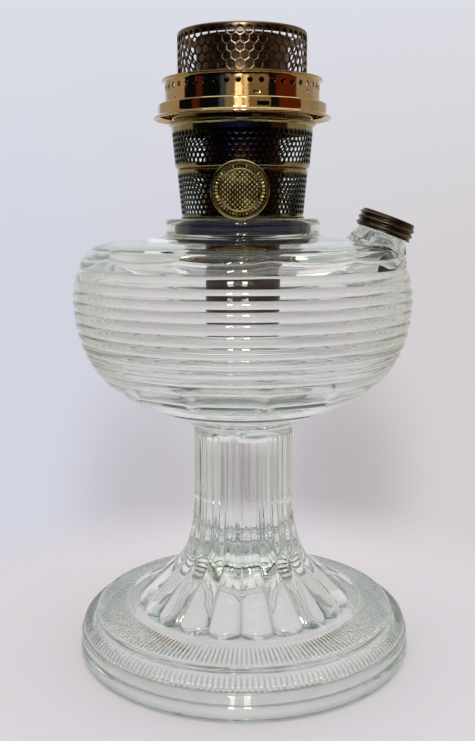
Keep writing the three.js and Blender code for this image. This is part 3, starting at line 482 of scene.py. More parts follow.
def makeGlass():
    ribShares = (0.0, 0.08, 0.2, 0.4, 0.6, 0.8, 0.92)
    lastGroove = grooveAlong[-1]
    shoulder = lastGroove + glassSizes["shoulderSpan"]
    stations = list(np.linspace(0, grooveAlong[0], glassSizes["underRows"])[:-1])
    for low, high in zip(grooveAlong, grooveAlong[1:]):
        stations += [low + (high - low) * share for share in ribShares]
    stations += list(np.linspace(lastGroove, shoulder, glassSizes["shoulderRows"])[:-1])
    stations += list(np.linspace(shoulder, bowlAlong[-1], glassSizes["topRows"]))
    bowlRows = [(float(np.interp(s, bowlAlong, bowlRadii)), float(np.interp(s, bowlAlong, bowlHeights)))
                for s in stations]
    spacing = glassSizes["spacing"]
    parts = [("edge", footEdge), ("ledge", ledge), ("step", ledgeStep), ("ribs", ribRing),
             ("plain", plainRing),
             ("bell", smoothLine(bell, spacing["bell"])), ("bowl", bowlRows),
             ("neck", smoothLine(burnerNeck, spacing["neck"])),
             ("inside", inside[:3] + smoothLine(inside[3:], spacing["inside"])),
             ("hollow", smoothLine(footHollow, spacing["hollow"]))]
    outline = [point for _, rows in parts for point in rows]
    solid = turnOutline("lampGlass", outline, glassSizes["steps"])
    refineRings(solid, ledge + ribRing)
    shapeGlass(solid, outline, parts, np.array(stations))
    return solid


def refineRings(piece, rows):
    # the rings with fine ribs need more points than the rest of the glass
    near = 4e-5
    points = pointsOf(piece)
    radii = np.hypot(points[:, 0], points[:, 1])
    onRing = np.zeros(len(points), bool)
    for radius, height in rows:
        onRing |= (abs(points[:, 2] - height * mm) < near) & (abs(radii - radius * mm) < near)
    ends = np.zeros(len(piece.data.edges) * 2, int)
    piece.data.edges.foreach_get("vertices", ends)
    ends = ends.reshape(-1, 2)
    level = abs(points[ends[:, 0], 2] - points[ends[:, 1], 2]) < 1e-6
    editChosen(piece, "EDGE", onRing[ends[:, 0]] & onRing[ends[:, 1]] & level)
    bpy.ops.mesh.subdivide(number_cuts=glassSizes["finerSteps"])
    bpy.ops.mesh.select_mode(type="VERT")
    leaveEdit()


def nearestRows(radii, heights, outline):
    nearest = np.zeros(len(radii), int)
    closeness = np.full(len(radii), np.inf)
    for at, (radius, height) in enumerate(outline):
        gap = np.hypot(radii - radius, heights - height)
        better = gap < closeness
        nearest[better] = at
        closeness[better] = gap[better]
    return nearest


def ribBowl(along, angles):
    # level ribs; their ends meet in the nodes of twelve panels at the shoulder and under the bowl
    first, last = grooveAlong[0], grooveAlong[-1]
    panel = (np.degrees(angles) - glassSizes["panelTurn"]) / 360 * glassSizes["panels"] % 1.0
    fromNode = np.minimum(panel, 1 - panel)
    cusp = 1 - np.sin(panel * math.pi) ** 0.8
    pinch = 0.7 * np.clip(1 - fromNode / 0.14, 0, 1) ** 1.2 + 0.3 * cusp
    rise = glassSizes["riseAtNodes"] * cusp * np.interp(
        along, [grooveAlong[-3], grooveAlong[-2], last, last + 13], [0, 0.18, 1, 0])
    drop = glassSizes["dropAtNodes"] * pinch * np.interp(
        along, [first - 9, first, grooveAlong[1], grooveAlong[2], grooveAlong[3]], [0, 1, 0.45, 0.12, 0])
    moved = np.clip(along + rise - drop, 0, bowlAlong[-1])
    slot = np.clip(np.searchsorted(grooveAlong, along, side="right") - 1, 0, len(grooveAlong) - 2)
    share = (along - grooveAlong[slot]) / (grooveAlong[slot + 1] - grooveAlong[slot])
    across = np.abs(np.clip(share, 0, 1) * 2 - 1)
    inRibs = (along >= first - 1e-6) & (along <= last + 1e-6)
    beyond = np.minimum(np.abs(along - first), np.abs(along - last))
    shape = np.where(inRibs, across ** 2.6, np.exp(-beyond / 1.3))
    shape = shape * np.interp(along, [0, first, grooveAlong[1]], [1.5, 1.5, 0.9])
    # painted shade: line, edge and rim mark the grooves, the rings under the bowl, the crease and the
    # shoulder band, returned as the third value
    line = np.where(inRibs, np.clip((across - 0.7) / 0.3, 0, 1), np.exp(-beyond / 0.5))
    under = slice(0, glassSizes["underPoints"])
    for radius, depth in underGrooves:
        middle = float(np.interp(radius, bowlRadii[under], bowlAlong[under]))
        ring = np.exp(-((along - middle) / 1.3) ** 2)
        shape = shape + ring * depth
        line = np.maximum(line, ring)
    above = along - last - glassSizes["creaseAbove"] + glassSizes["creaseDip"] * pinch
    crease = np.exp(-(above / 0.85) ** 2) * (along > last)
    shape = shape + crease * glassSizes["creaseDepth"]
    line = np.maximum(line, crease * 0.35)
    # painted shade in a band on the shoulder above the crease
    shoulderShade = np.interp(above, [0, 0.6, 4, 12, 26], [0, 1.6, 1.3, 0.8, 0.3])
    line = np.maximum(line, shoulderShade * (along > last + 2))
    normalR, normalZ = bowlNormal(moved)
    radii = np.interp(moved, bowlAlong, bowlRadii) - normalR * shape * glassSizes["ribDepth"]
    heights = np.interp(moved, bowlAlong, bowlHeights) - normalZ * shape * glassSizes["ribDepth"]
    line = line * np.interp(along, [0, first, grooveAlong[1], grooveAlong[6], grooveAlong[9], last],
                            [1.0, 1.0, 0.6, 0.5, 0.35, 0.45])
    edge = np.exp(-((along - first) / 0.9) ** 2) * (1 - 0.8 * np.clip(1 - fromNode / 0.1, 0, 1))
    rim = 0.7 * np.exp(-((along - last) / 0.5) ** 2)
    return radii, heights, np.maximum(np.maximum(line, edge), rim)


def fluteBell(radii, heights, angles):
    # rounded pillars that end in scalloped toes
    across = np.abs(angles / fullTurn * glassSizes["flutes"] % 1.0 * 2 - 1)
    toe = np.interp(heights, [23, 24.4, 27, 31, 37, 45, 55, 72, 104, 108],
                    [1.0, 0.95, 0.8, 0.66, 0.54, 0.42, 0.31, 0.21, 0.17, 0.16])
    soft = np.interp(heights, [42, 66], [0, 1])
    rounded = (1 - soft) * across ** 2.0 + soft * (1 - np.cos(across * math.pi)) / 2
    lift = np.interp(heights, [23.3, 24.5, 27, 40], [0.0, 0.6, 1.0, 0.0])
    # painted shade in the flute valleys and along the toes
    valley = np.clip((across - 0.78) / 0.22, 0, 1) * np.interp(heights, [24, 60, 100], [0.9, 0.45, 0.2])
    foot = np.interp(heights, [23.3, 24.6, 25.6], [0.9, 0.7, 0.0]) * (across > 0.3)
    depth = glassSizes["toeDepth"] * toe * rounded
    return radii - depth, heights - lift * across ** 2.2, np.maximum(valley, foot)


def fineValley(angles):
    return ((1 - np.cos(angles * glassSizes["footRibs"])) / 2) ** 2.6


def ribRingTop(radii, heights, angles):
    valley = fineValley(angles)
    fade = np.interp(radii, [58.0, 59.2, 71.2, 72.4], [0, 1, 1, 0])
    # painted shade in the valleys of the fine ribs
    return radii, heights + (0.35 - valley) * glassSizes["footRibDepth"] * fade, valley * fade * 0.9


def ribLedge(radii, heights, angles):
    valley = fineValley(angles)
    fade = np.interp(heights, [13.6, 14.6, 17.5, 18.1], [0, 1, 1, 0])
    slope = np.clip((radii - 74) / 5.5, 0, 1)
    depth = valley * glassSizes["ledgeRibDepth"] * fade
    # painted shade in the valleys of the fine ribs
    return radii - depth * slope, heights - depth * (1 - slope), valley * fade * 0.9


def shapeGlass(solid, outline, parts, stations):
    points = pointsOf(solid) / mm
    radii, angles = polar(points)
    heights = points[:, 2]
    labels = np.array([label for label, rows in parts for _ in rows])
    nearest = nearestRows(radii, heights, outline)
    label = labels[nearest]
    newRadii, newHeights = radii.copy(), heights.copy()
    grooveShade = np.zeros(len(points))
    isBowl = label == "bowl"
    along = stations[nearest[isBowl] - int(np.argmax(labels == "bowl"))]
    newRadii[isBowl], newHeights[isBowl], grooveShade[isBowl] = ribBowl(along, angles[isBowl])
    for part, shaper in (("bell", fluteBell), ("ribs", ribRingTop), ("ledge", ribLedge)):
        chosen = label == part
        newRadii[chosen], newHeights[chosen], grooveShade[chosen] = shaper(
            radii[chosen], heights[chosen], angles[chosen])
    # painted shade on the ledge step and in bands round the rim of the foot
    grooveShade[label == "step"] = 0.45
    isEdge = label == "edge"
    grooveShade[isEdge] = np.interp(heights[isEdge], [0, 0.5, 1.6, 6.2, 7.3, 8.2, 11.8, 12.8],
                               [0.9, 0.7, 0.5, 0.5, 1.0, 0.45, 0.45, 0.9])

    # mould seams on the rim, and the uneven fused seam under the font
    onEdge = isEdge & (heights > 0.5) & (heights < 12.2)
    between = 360 / mould["seams"]
    fromSeam = np.abs((np.degrees(angles) + mould["turn"] + between / 2) % between - between / 2)
    newRadii[onEdge & (fromSeam < mould["width"])] -= mould["depth"]
    seam = np.exp(-((newHeights - mould["waist"]) / 1.5) ** 2) * (radii > 22) * (radii < 30)
    newHeights += seam * (0.5 * np.sin(angles * 3 + 0.8) + 0.4 * np.sin(angles * 7 + 2))
    newRadii += seam * 0.3 * np.sin(angles * 5 + 1)
    # painted shade along the fused seam
    grooveShade = np.maximum(grooveShade, seam * 0.5 * (1 + np.sin(angles * 4 + 0.5)))
    setPoints(solid, fromPolar(newRadii, angles, newHeights) * mm)
    markPoints(solid, "grooveShade", grooveShade)


fillerSizes = {"reach": 65.9, "height": 203.6, "lean": math.radians(20.5), "threadRadius": 11.5,
               "threadDepth": 0.9, "pitch": 2.6, "steps": 72}


def leanFiller(piece):
    lean = Matrix.Translation((fillerSizes["reach"] * mm, 0, fillerSizes["height"] * mm)) @ Matrix.Rotation(
        fillerSizes["lean"], 4, "Y")
    piece.data.transform(lean)


def threadSwell(angle, height, pitch):
    return (1 + np.cos((height / pitch - angle / fullTurn) * fullTurn)) / 2


def makeFillerNeck():
    threads = [(fillerSizes["threadRadius"], z) for z in np.linspace(0.8, 4.4, 15)]
    outline = [(0, -12.4), (17.2, -12.4), (16.9, -11.4), (15.6, -8.6), (14.2, -5.8), (12.9, -3.0),
               (12.0, -1.3), (11.5, 0.0)] + threads + [(11.2, 5.0), (10.7, 5.4), (10.0, 5.6), (0, 5.6)]
    neck = turnOutline("fillerNeck", outline, fillerSizes["steps"], closed=False)
    points = pointsOf(neck) / mm
    radii, angles = polar(points)
    swell = fillerSizes["threadDepth"] * threadSwell(angles, points[:, 2], fillerSizes["pitch"])
    swell *= np.interp(points[:, 2], [0.5, 1.2, 4.0, 4.7], [0, 1, 1, 0]) * (radii > 11)
    pushOut(points, radii, swell)
    setPoints(neck, points * mm)
    leanFiller(neck)
    bore = turnOutline("fillerBore", [(0, -24), (9.4, -24), (9.0, -9), (8.6, -5), (8.6, 4.9), (9.2, 5.5),
                                      (9.6, 7), (0, 7)], fillerSizes["steps"], closed=False)
    leanFiller(bore)
    return neck, bore


lampGlass = makeGlass()
fillerNeck, fillerBore = makeFillerNeck()
cutWith(lampGlass, fillerNeck, "UNION")
cutWith(lampGlass, fillerBore)
finishPiece(lampGlass, glass, "lamp", "glass", "foot", "font", "burner_neck", "filler_neck", degrees=60)
print("glass pressed:", len(lampGlass.data.polygons), "faces")


# perforated sheet brass

def punchSheet(name, sheet):
    pitch = fullTurn * sheet["radius"] / sheet["columns"] * mm
    rowPitch = sheet["rowPitch"] * mm
    clearSelection()
    bpy.ops.mesh.primitive_circle_add(vertices=6, radius=mm, location=(0, 0, 0))
    piece = namePiece(name)
    editAll()
    bpy.ops.transform.resize(value=(pitch / math.sqrt(3) / mm, rowPitch * 2 / 3 / mm, 1))
    bpy.ops.mesh.primitive_circle_add(vertices=12, radius=sheet["hole"] / 2 * mm,
                                      location=(0, 0, -sheet["dish"] * mm))
    bpy.ops.mesh.select_all(action="SELECT")
    bpy.ops.mesh.bridge_edge_loops()
    leaveEdit()
    for count, offset in ((sheet["rows"], (pitch / 2, rowPitch, 0)), (sheet["columns"], (pitch, 0, 0))):
        if count < 2:
            continue
        array = piece.modifiers.new("row", "ARRAY")
        array.count = count
        array.use_relative_offset = False
        array.use_constant_offset = True
        array.constant_offset_displace = offset
    applyModifiers(piece)
    weldPiece(piece, weldGaps["sheet"], turnNormals=False)
    points = pointsOf(piece)
    points[:, 1] += sheet["lowRow"] * mm
    setPoints(piece, points)
    third = sheet["rowPitch"] / 3  # from a row's middle to the flanks of its cells
    topRow = sheet["lowRow"] + sheet["rowPitch"] * (sheet["rows"] - 1)
    growBand(piece, sheet, topRow + third, 1, sheet["above"])
    growBand(piece, sheet, sheet["lowRow"] - third, -1, sheet["below"])
    wrapSheet(piece, sheet)
    return piece


def wallRadius(sheet, height):
    (lowZ, lowR), (highZ, highR) = sheet["wall"]
    return lowR + (highR - lowR) * (height - lowZ) / (highZ - lowZ)


def growBand(piece, sheet, edge, way, rows):
    near = 3e-5
    heights = pointsOf(piece)[:, 1]
    tips = edge + way * sheet["rowPitch"] / 3
    editChosen(piece, "VERT", (abs(heights - edge * mm) < near) | (abs(heights - tips * mm) < near))
    last, depth = None, 0.0
    for radius, height in rows:
        out = radius - wallRadius(sheet, height)
        if last is None:  # brings the zigzag edge to one level
            bpy.ops.mesh.extrude_region_move(TRANSFORM_OT_translate={"value": (0, 0, 0)})
            bpy.ops.transform.resize(value=(1, 0, 1), center_override=(0, height * mm, 0))
            bpy.ops.transform.translate(value=(0, 0, out * mm))
        else:
            bpy.ops.mesh.extrude_region_move(TRANSFORM_OT_translate={
                "value": (0, (height - last) * mm, (out - depth) * mm)})
        depth, last = out, height
    leaveEdit()


def wrapSheet(piece, sheet):
    points = pointsOf(piece)
    around = fullTurn * sheet["radius"] * mm
    angles = points[:, 0] / around * fullTurn + sheet.get("phase", 0)
    radii = wallRadius(sheet, points[:, 1] / mm) * mm + points[:, 2]
    setPoints(piece, fromPolar(radii, angles, points[:, 1]))
    weldPiece(piece, weldGaps["sheet"])
    heights = pointsOf(piece)[:, 2] / mm
    # painted shade: marks the crown's wall under its holes and the pierced bands of the baskets
    markPoints(piece, "shadeBand", (heights > sheet["shadeBand"][0]) & (heights < sheet["shadeBand"][1]))
    wall = piece.modifiers.new("wall", "SOLIDIFY")
    wall.thickness = sheet["thickness"] * mm
    wall.offset = -1
    applyModifiers(piece)


crownSheet = {"radius": 29.7, "columns": 46, "rows": 6, "rowPitch": 3.52, "hole": 3.4, "lowRow": 272.7,
              "wall": ((259.5, 29.7), (294.0, 29.7)), "thickness": 0.6, "dish": 0.13, "shadeBand": (255, 270.3),
              "above": [(29.7, 292.8), (29.6, 293.4), (29.25, 293.85), (28.75, 294.0), (28.3, 293.8),
                        (28.1, 293.3), (28.1, 290.5)],
              "below": [(29.7, 270.1), (29.7, 264.0), (29.7, 260.4), (29.9, 260.05), (30.5, 259.95)]}
ringSheet = {"radius": 35.7, "columns": 45, "rows": 1, "rowPitch": 3.45, "hole": 2.5, "lowRow": 269.0,
             "wall": ((260.9, 35.7), (273.1, 35.7)), "thickness": 0.8, "dish": 0.0, "shadeBand": (0, 0),
             "phase": -0.052,
             "above": [(35.7, 271.4), (35.75, 271.9), (36.0, 272.25), (36.5, 272.45), (37.0, 272.5),
                       (37.1, 272.75), (37.0, 273.05)],
             "below": [(35.7, 266.6), (35.7, 262.6), (35.7, 260.75)],
             "dents": [(-78.1, 264.0, 2.1, 0.9), (-144.6, 263.6, 0.9, 0.4), (-35.0, 266.0, 0.7, 0.9)],
             "dentDepth": 0.5}
upperSheet = {"radius": 32.1, "columns": 72, "rows": 6, "rowPitch": 2.36, "hole": 2.1, "lowRow": 236.4,
              "wall": ((232.2, 31.1), (252.2, 32.9)), "thickness": 0.5, "dish": 0.1, "shadeBand": (234.8, 249.8),
              "above": [(32.7, 249.9), (32.85, 251.9), (33.4, 252.25), (33.95, 252.8), (34.0, 253.4),
                        (33.7, 254.0), (32.8, 254.3), (31.7, 254.6), (31.5, 255.2), (31.5, 258.2)],
              "below": [(31.35, 234.7), (31.25, 233.9), (31.0, 233.45), (30.5, 233.3), (29.9, 233.35)]}
lowerSheet = {"radius": 29.6, "columns": 72, "rows": 8, "rowPitch": 2.29, "hole": 1.9, "lowRow": 213.6,
              "wall": ((211.4, 28.5), (231.9, 30.4)), "thickness": 0.5, "dish": 0.1, "shadeBand": (212.1, 231.2),
              "above": [(30.4, 231.3), (30.5, 232.3), (30.2, 232.8), (29.7, 233.0), (29.55, 233.5),
                        (29.55, 235.1)],
              "below": [(28.55, 212.0), (28.5, 211.5)]}

finishPiece(punchSheet("galleryCrown", crownSheet), bronze, "gallery", "bronze", "gallery_crown", degrees=50)
galleryRing = punchSheet("galleryRing", ringSheet)
for turn, height, width, tall in ringSheet["dents"]:
    clearSelection()
    bpy.ops.mesh.primitive_uv_sphere_add(segments=20, ring_count=10, radius=mm, location=(0, 0, 0))
    dent = stretchTool("ringDent", (width, ringSheet["dentDepth"], tall))
    moveOut(dent, turn, ringSheet["radius"], height)
    cutWith(galleryRing, dent)
finishPiece(galleryRing, brass, "gallery", "brass", "gallery_ring")
for name, sheet, node in (("upperBasket", upperSheet, "upper_basket"),
                          ("lowerBasket", lowerSheet, "lower_basket")):
    finishPiece(punchSheet(name, sheet), patina, "burner", "dark_brass", node, degrees=50)
print("sheets punched")


# turned brass

def turnPiece(name, outline, ease, steps, *finish):
    finishPiece(turnOutline(name, eased(outline, ease), steps), *finish)


galleryFlange = turnOutline("galleryFlange", eased([
    (40.3, 255.4), (41.1, 255.55), (41.05, 256.2), (40.3, 256.5), (39.3, 256.9), (39.0, 257.5), (39.0, 261.6),
    (38.5, 262.2), (36.0, 262.3), (36.0, 260.7), (34.6, 260.7), (34.6, 260.9), (30.0, 260.9), (30.0, 260.1),
    (37.9, 260.1), (38.2, 259.6), (38.2, 257.0), (39.6, 256.0)], 0.3), 144)
flangeNotch = {"size": (5.4, 2.6, 1.9), "reach": 38.6, "turn": -75.1, "height": 258.9}
notch = boxTool("flangeNotch", flangeNotch["size"])
moveOut(notch, flangeNotch["turn"], flangeNotch["reach"], flangeNotch["height"])
cutWith(galleryFlange, notch)
finishPiece(galleryFlange, brass, "gallery", "brass", "gallery_flange")
turnPiece("galleryCollar", [
    (31.8, 255.5), (32.6, 255.5), (32.6, 259.3), (26.8, 259.3), (26.8, 258.5), (31.8, 258.5)],
    0.25, 120, patina, "gallery", "dark_brass", "gallery_collar")
turnPiece("galleryCone", [
    (27.6, 259.35), (25.6, 263.4), (22.8, 268.8), (21.4, 272.6), (21.2, 275.4), (21.2, 290.2), (21.45, 291.1),
    (21.2, 291.5), (20.7, 291.3), (20.5, 290.2), (20.5, 275.4), (20.7, 272.3), (22.1, 268.3), (24.9, 262.9),
    (26.8, 259.35)], 0.6, 120, bronze, "gallery", "brass", "gallery_cone")

screw = {"baseRadius": 26.1, "baseDepth": 0.85, "collarBore": 26.6, "collarDepth": 0.9, "rowStep": 0.6}
baseThread = [(screw["baseRadius"] + screw["baseDepth"] * (1 + math.cos(at * math.pi)) / 2,
               203.4 + at * screw["rowStep"]) for at in range(9)]
collarThread = [(screw["collarBore"] + screw["collarDepth"] * (1 - math.cos(at * math.pi)) / 2,
                 208.4 - at * screw["rowStep"]) for at in range(10)]
turnPiece("burnerBase", [(26.1, 202.6), (26.1, 203.4)] + baseThread + [
    (26.1, 210.6), (28.8, 210.6), (29.0, 211.0), (28.8, 211.4), (25.0, 211.4), (25.0, 203.4), (17.9, 203.4),
    (17.9, 202.6)], 0.2, 120, collarBrass, "burner", "dark_brass", "burner_base")
turnPiece("fontCollar", [(31.0, 202.5), (31.0, 209.0), (26.6, 209.0)] + collarThread + [(26.6, 202.5)],
          0.15, 120, collarBrass, "lamp", "brass", "font_collar")
turnPiece("collarCement", [
    (31.3, 202.5), (32.1, 202.5), (32.1, 208.0), (31.9, 208.2), (31.5, 208.1), (31.3, 207.9)],
    0.15, 96, plaster, "lamp", "plaster", "collar_cement")
turnPiece("burnerWasher", [(27.8, 209.3), (31.0, 209.3), (31.0, 210.3), (27.8, 210.3)],
          0.3, 96, leather, "washer", "washer", "burner_washer")
print("brass turned")


# wick, wick tubes and flame spreader

def makeTube(name, wall, windows, *finish):
    tube = turnOutline(name, eased(wall, 0.25))
    for size, place in windows:
        cutWith(tube, boxTool("window", size, place))
    finishPiece(tube, *finish)


# windows for the air ducts and for the carrier's arm, as size and place
outerWindows = [((44, 10.6, 14.6), (0, 0, 223.0)), ((3.6, 6.0, 21.0), (-6.9, -17.0, 212.0))]
innerWindows = [((30, 10.6, 14.6), (0, 0, 223.0))]
makeTube("outerWickTube", [(17.0, 178.0), (17.6, 178.0), (17.6, 274.6), (17.35, 276.0), (17.0, 276.0)],
         outerWindows, shadedTubeBrass, "burner", "brass", "outer_wick_tube")
makeTube("innerWickTube", [(12.4, 180.0), (13.0, 180.0), (13.0, 276.4), (12.8, 277.0), (12.4, 277.0)],
         innerWindows, innerBrass, "burner", "brass", "inner_wick_tube")
print("tubes cut")

wickSizes = {"inner": 13.35, "outer": 15.65, "foot": 182.0, "top": 268.0, "ribs": 60, "ribDepth": 0.05,
             "slot": (36, 11.8, 27.2), "slotHeight": 217.0, "threads": 90}


def makeWick():
    outside = [(wickSizes["outer"], wickSizes["foot"] + at * 1.2) for at in range(72)]
    inner = [(wickSizes["inner"], 266.5 - at * 6.0) for at in range(14)]
    wick = turnOutline("cottonWick", [(wickSizes["inner"], wickSizes["foot"])] + outside + [
        (15.4, wickSizes["top"]), (13.6, wickSizes["top"])] + inner, 144)
    points = pointsOf(wick)
    radii, angles = polar(points)
    swell = wickSizes["ribDepth"] * np.sin(angles * wickSizes["ribs"]) * (radii > 0.0148) * mm
    fray = np.array([noise.noise(Vector((math.cos(a) * 9, math.sin(a) * 9, 1.5))) for a in angles])
    height = points[:, 2] + np.where(points[:, 2] > 0.2672, fray * 0.0005 - 0.0004, 0)
    setPoints(wick, fromPolar(radii + swell, angles, height))
    cutWith(wick, boxTool("wickSlot", wickSizes["slot"], (0, 0, wickSizes["slotHeight"])))
    layer = wick.data.uv_layers.new(name="UVMap")  # threads round the wick and millimetres up it
    loops = np.zeros(len(wick.data.loops), int)
    wick.data.loops.foreach_get("vertex_index", loops)
    points = pointsOf(wick)[loops] / mm
    turns = np.arctan2(points[:, 1], points[:, 0]) / fullTurn * wickSizes["threads"]
    layer.data.foreach_set("uv", np.stack((turns, points[:, 2]), 1).ravel())
    finishPiece(wick, cotton, "wick_raiser", "cotton", "wick", degrees=50)


makeWick()
airHoles = {"count": 20, "radius": 0.9, "depth": 4, "reach": 12, "height": 279.4}
thimble = turnOutline("spreaderThimble", eased([
    (11.5, 267.0), (12.1, 267.0), (12.1, 277.3), (13.1, 277.3), (13.1, 277.9), (12.1, 277.9), (12.1, 281.0),
    (11.5, 281.0)], 0.2), 80)
for at in range(airHoles["count"]):
    clearSelection()
    bpy.ops.mesh.primitive_cylinder_add(
        vertices=10, radius=airHoles["radius"] * mm, depth=airHoles["depth"] * mm,
        location=(airHoles["reach"] * mm, 0, airHoles["height"] * mm), rotation=(0, math.pi / 2, 0))
    hole = namePiece("airHole")
    bpy.ops.object.transform_apply(location=True, rotation=True, scale=True)
    hole.data.transform(Matrix.Rotation(fullTurn * at / airHoles["count"], 4, "Z"))
    cutWith(thimble, hole)
finishPiece(thimble, innerBrass, "flame_spreader", "brass", "spreader_thimble")
spreaderCap = turnOutline("spreaderCap", smoothLine([
    (0, 281.0), (8.0, 281.0), (14.2, 281.0), (14.8, 281.1), (15.0, 281.4), (14.8, 281.7), (13.6, 281.9),
    (10.0, 282.5), (6.0, 283.1), (3.0, 283.33), (0, 283.38)], 0.8), closed=False)
finishPiece(spreaderCap, innerBrass, "flame_spreader", "brass", "spreader_cap", degrees=50)
print("wick and spreader in place")


# wick knob: turned rim, pressed face

knobSizes = {"height": 222.8, "ribs": 60, "ribDepth": 0.14, "dots": 2.1, "dotRadius": 8.5, "ticks": 44,
             "bead": 9.0, "beadHeight": 0.42, "faceRadius": 11.5, "front": 39.06}
knobLook = {"mark": "relief", "markShare": 1.0, "clouds": 160, "cloudRough": 0.6, "cloudShare": 1.5,
            "worn": (0.85, 1.6), "dark": (0.035, 0.025, 0.011, 1), "bright": (0.60, 0.47, 0.20, 1),
            "roughness": (0.3, 0.7, 0.24, 0.42), "fine": 900, "bump": 0.3}


def stand(piece):
    piece.data.transform(Matrix.Translation((0, 0, knobSizes["height"] * mm))
                         @ Matrix.Rotation(math.pi / 2, 4, "X"))


def makeKnob():
    back = [(1.8, 33.26), (3.4, 33.26), (3.4, 35.9), (3.7, 36.2), (4.2, 36.26)]
    rim = [(12.2, 36.26), (12.75, 36.45), (13.0, 36.9), (13.0, 38.3), (12.85, 38.85), (12.4, 39.22),
           (11.95, 39.0), (11.8, 38.5), (11.8, 37.1), (1.8, 37.1)]
    knob = turnOutline("wickKnob", back + rim, 180)
    points = pointsOf(knob)
    radii, angles = polar(points)
    ribs = knobSizes["ribDepth"] * mm * (1 + np.cos(angles * knobSizes["ribs"])) / 2
    onRim = (radii > 0.0127) & (points[:, 2] > 0.0366) & (points[:, 2] < 0.0387)
    setPoints(knob, fromPolar(np.where(onRim, radii - ribs, radii), angles, points[:, 2]))
    stand(knob)
    return knob


def makeKnobFace():
    rows = [(11.5, 37.76), (11.5, 38.3), (11.3, 38.52)]
    rows += [(11.1 - at * 0.15, 38.56) for at in range(74)] + [(0, 38.56), (0, 37.76)]
    face = turnOutline("knobFace", rows, 144, closed=False)
    points = pointsOf(face) / mm
    radii, angles = polar(points)
    front = points[:, 2] > 38.5
    x, y = points[:, 0], points[:, 1]
    leftRight, upDown = (x + y) / knobSizes["dots"], (x - y) / knobSizes["dots"]
    full = knobSizes["beadHeight"]
    dots = np.clip(1 - np.hypot(leftRight % 1 - 0.5, upDown % 1 - 0.5) * 2.3, 0, 1) ** 0.6 * full
    ticks = 0.4 * np.clip(np.cos(angles * knobSizes["ticks"]) + 0.35, 0, 1)
    bead = full * np.clip(1 - np.abs(radii - knobSizes["bead"]) / 0.4, 0, 1) ** 0.5
    lift = np.where(radii < knobSizes["dotRadius"], dots, 0)
    lift = np.where((radii > 9.5) & (radii < 10.9), ticks, lift)
    lift = np.maximum(lift, bead)
    crown = 0.08 * np.cos(np.clip(radii / knobSizes["faceRadius"], 0, 1) * math.pi / 2)
    points[:, 2] = np.minimum(points[:, 2] + np.where(front, lift + crown, 0), knobSizes["front"])
    setPoints(face, points * mm)
    markPoints(face, "relief", np.where(front, lift / full, 0.0))
    stand(face)
    return face


knobGold = wornFinish("antiqueGold", knobLook)
knobRim = metalFinish("knobRimBrass", (0.50, 0.39, 0.17, 1), (0.18, 0.13, 0.05, 1), (0.14, 0.28), rings=False)
finishPiece(makeKnob(), knobRim, "knob", "bronze", "wick_knob")
finishPiece(makeKnobFace(), knobGold, "knob", "bronze", "knob_face", degrees=50)
print("knob pressed")


# filler cap: rolled sheet with a screw thread

capSizes = {"outer": 12.75, "inner": 11.95, "thread": 0.9, "steps": 120}
capLook = {"mark": "wear", "markShare": 0.75, "clouds": 130, "cloudRough": 0.65, "cloudShare": 1.0,
           "worn": (1.08, 1.45, 0.0, 0.85), "dark": (0.06, 0.048, 0.04, 1), "bright": (0.50, 0.29, 0.12, 1),
           "roughness": (0.3, 0.75, 0.2, 0.42), "fine": 700, "bump": 0.25}


def makeFillerCap():
    outside = [(capSizes["outer"], z) for z in np.linspace(0.0, 7.2, 37)]
    top = [(12.7, 7.6), (12.45, 7.95), (12.0, 8.15), (11.3, 8.2), (10.6, 8.1), (10.2, 7.98), (6.0, 7.94),
           (0, 7.94)]
    inner = [(0, 7.4), (capSizes["inner"], 7.4)] + [(capSizes["inner"], z) for z in np.linspace(6.6, 0.0, 34)]
    fillerCap = turnOutline("fillerCap", outside + top + inner, capSizes["steps"])
    points = pointsOf(fillerCap) / mm
    radii, angles = polar(points)
    fade = np.interp(points[:, 2], [0, 0.3, 6.6, 7.3], [0.75, 1, 1, 0.0]) * (radii > 11.5)
    swell = capSizes["thread"] * threadSwell(angles, points[:, 2], fillerSizes["pitch"]) * fade
    sharp = capSizes["thread"] * fade * (swell / capSizes["thread"]) ** 1.3
    pushOut(points, radii, sharp)
    setPoints(fillerCap, points * mm)
    rim = np.clip(1 - np.abs(radii - 12.0) / 0.9, 0, 1) * (points[:, 2] > 7.3)
    markPoints(fillerCap, "wear", np.maximum(sharp / capSizes["thread"], rim))
    leanFiller(fillerCap)
    return fillerCap


finishPiece(makeFillerCap(), wornFinish("blackPatina", capLook), "filler_cap", "black_brass", "filler_cap",
            degrees=50)
print("filler cap threaded")


# solids whose shape is right get their finish

brassNodes = ("inner_tube_bottom", "air_duct_right", "air_duct_left", "raiser_bracket", "shaft_bush",
              "wick_carrier", "wick_pinion")
solidFinishes = {**{node: innerBrass for node in brassNodes}, "knob_shaft": steel, "cap_gasket": cork}
for node, finish in solidFinishes.items():
    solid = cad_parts[node]
    if not solid.material_slots:
        solid.data.materials.append(finish)
    for slot in solid.material_slots:
        slot.material = finish


# room, light and camera; places are in metres

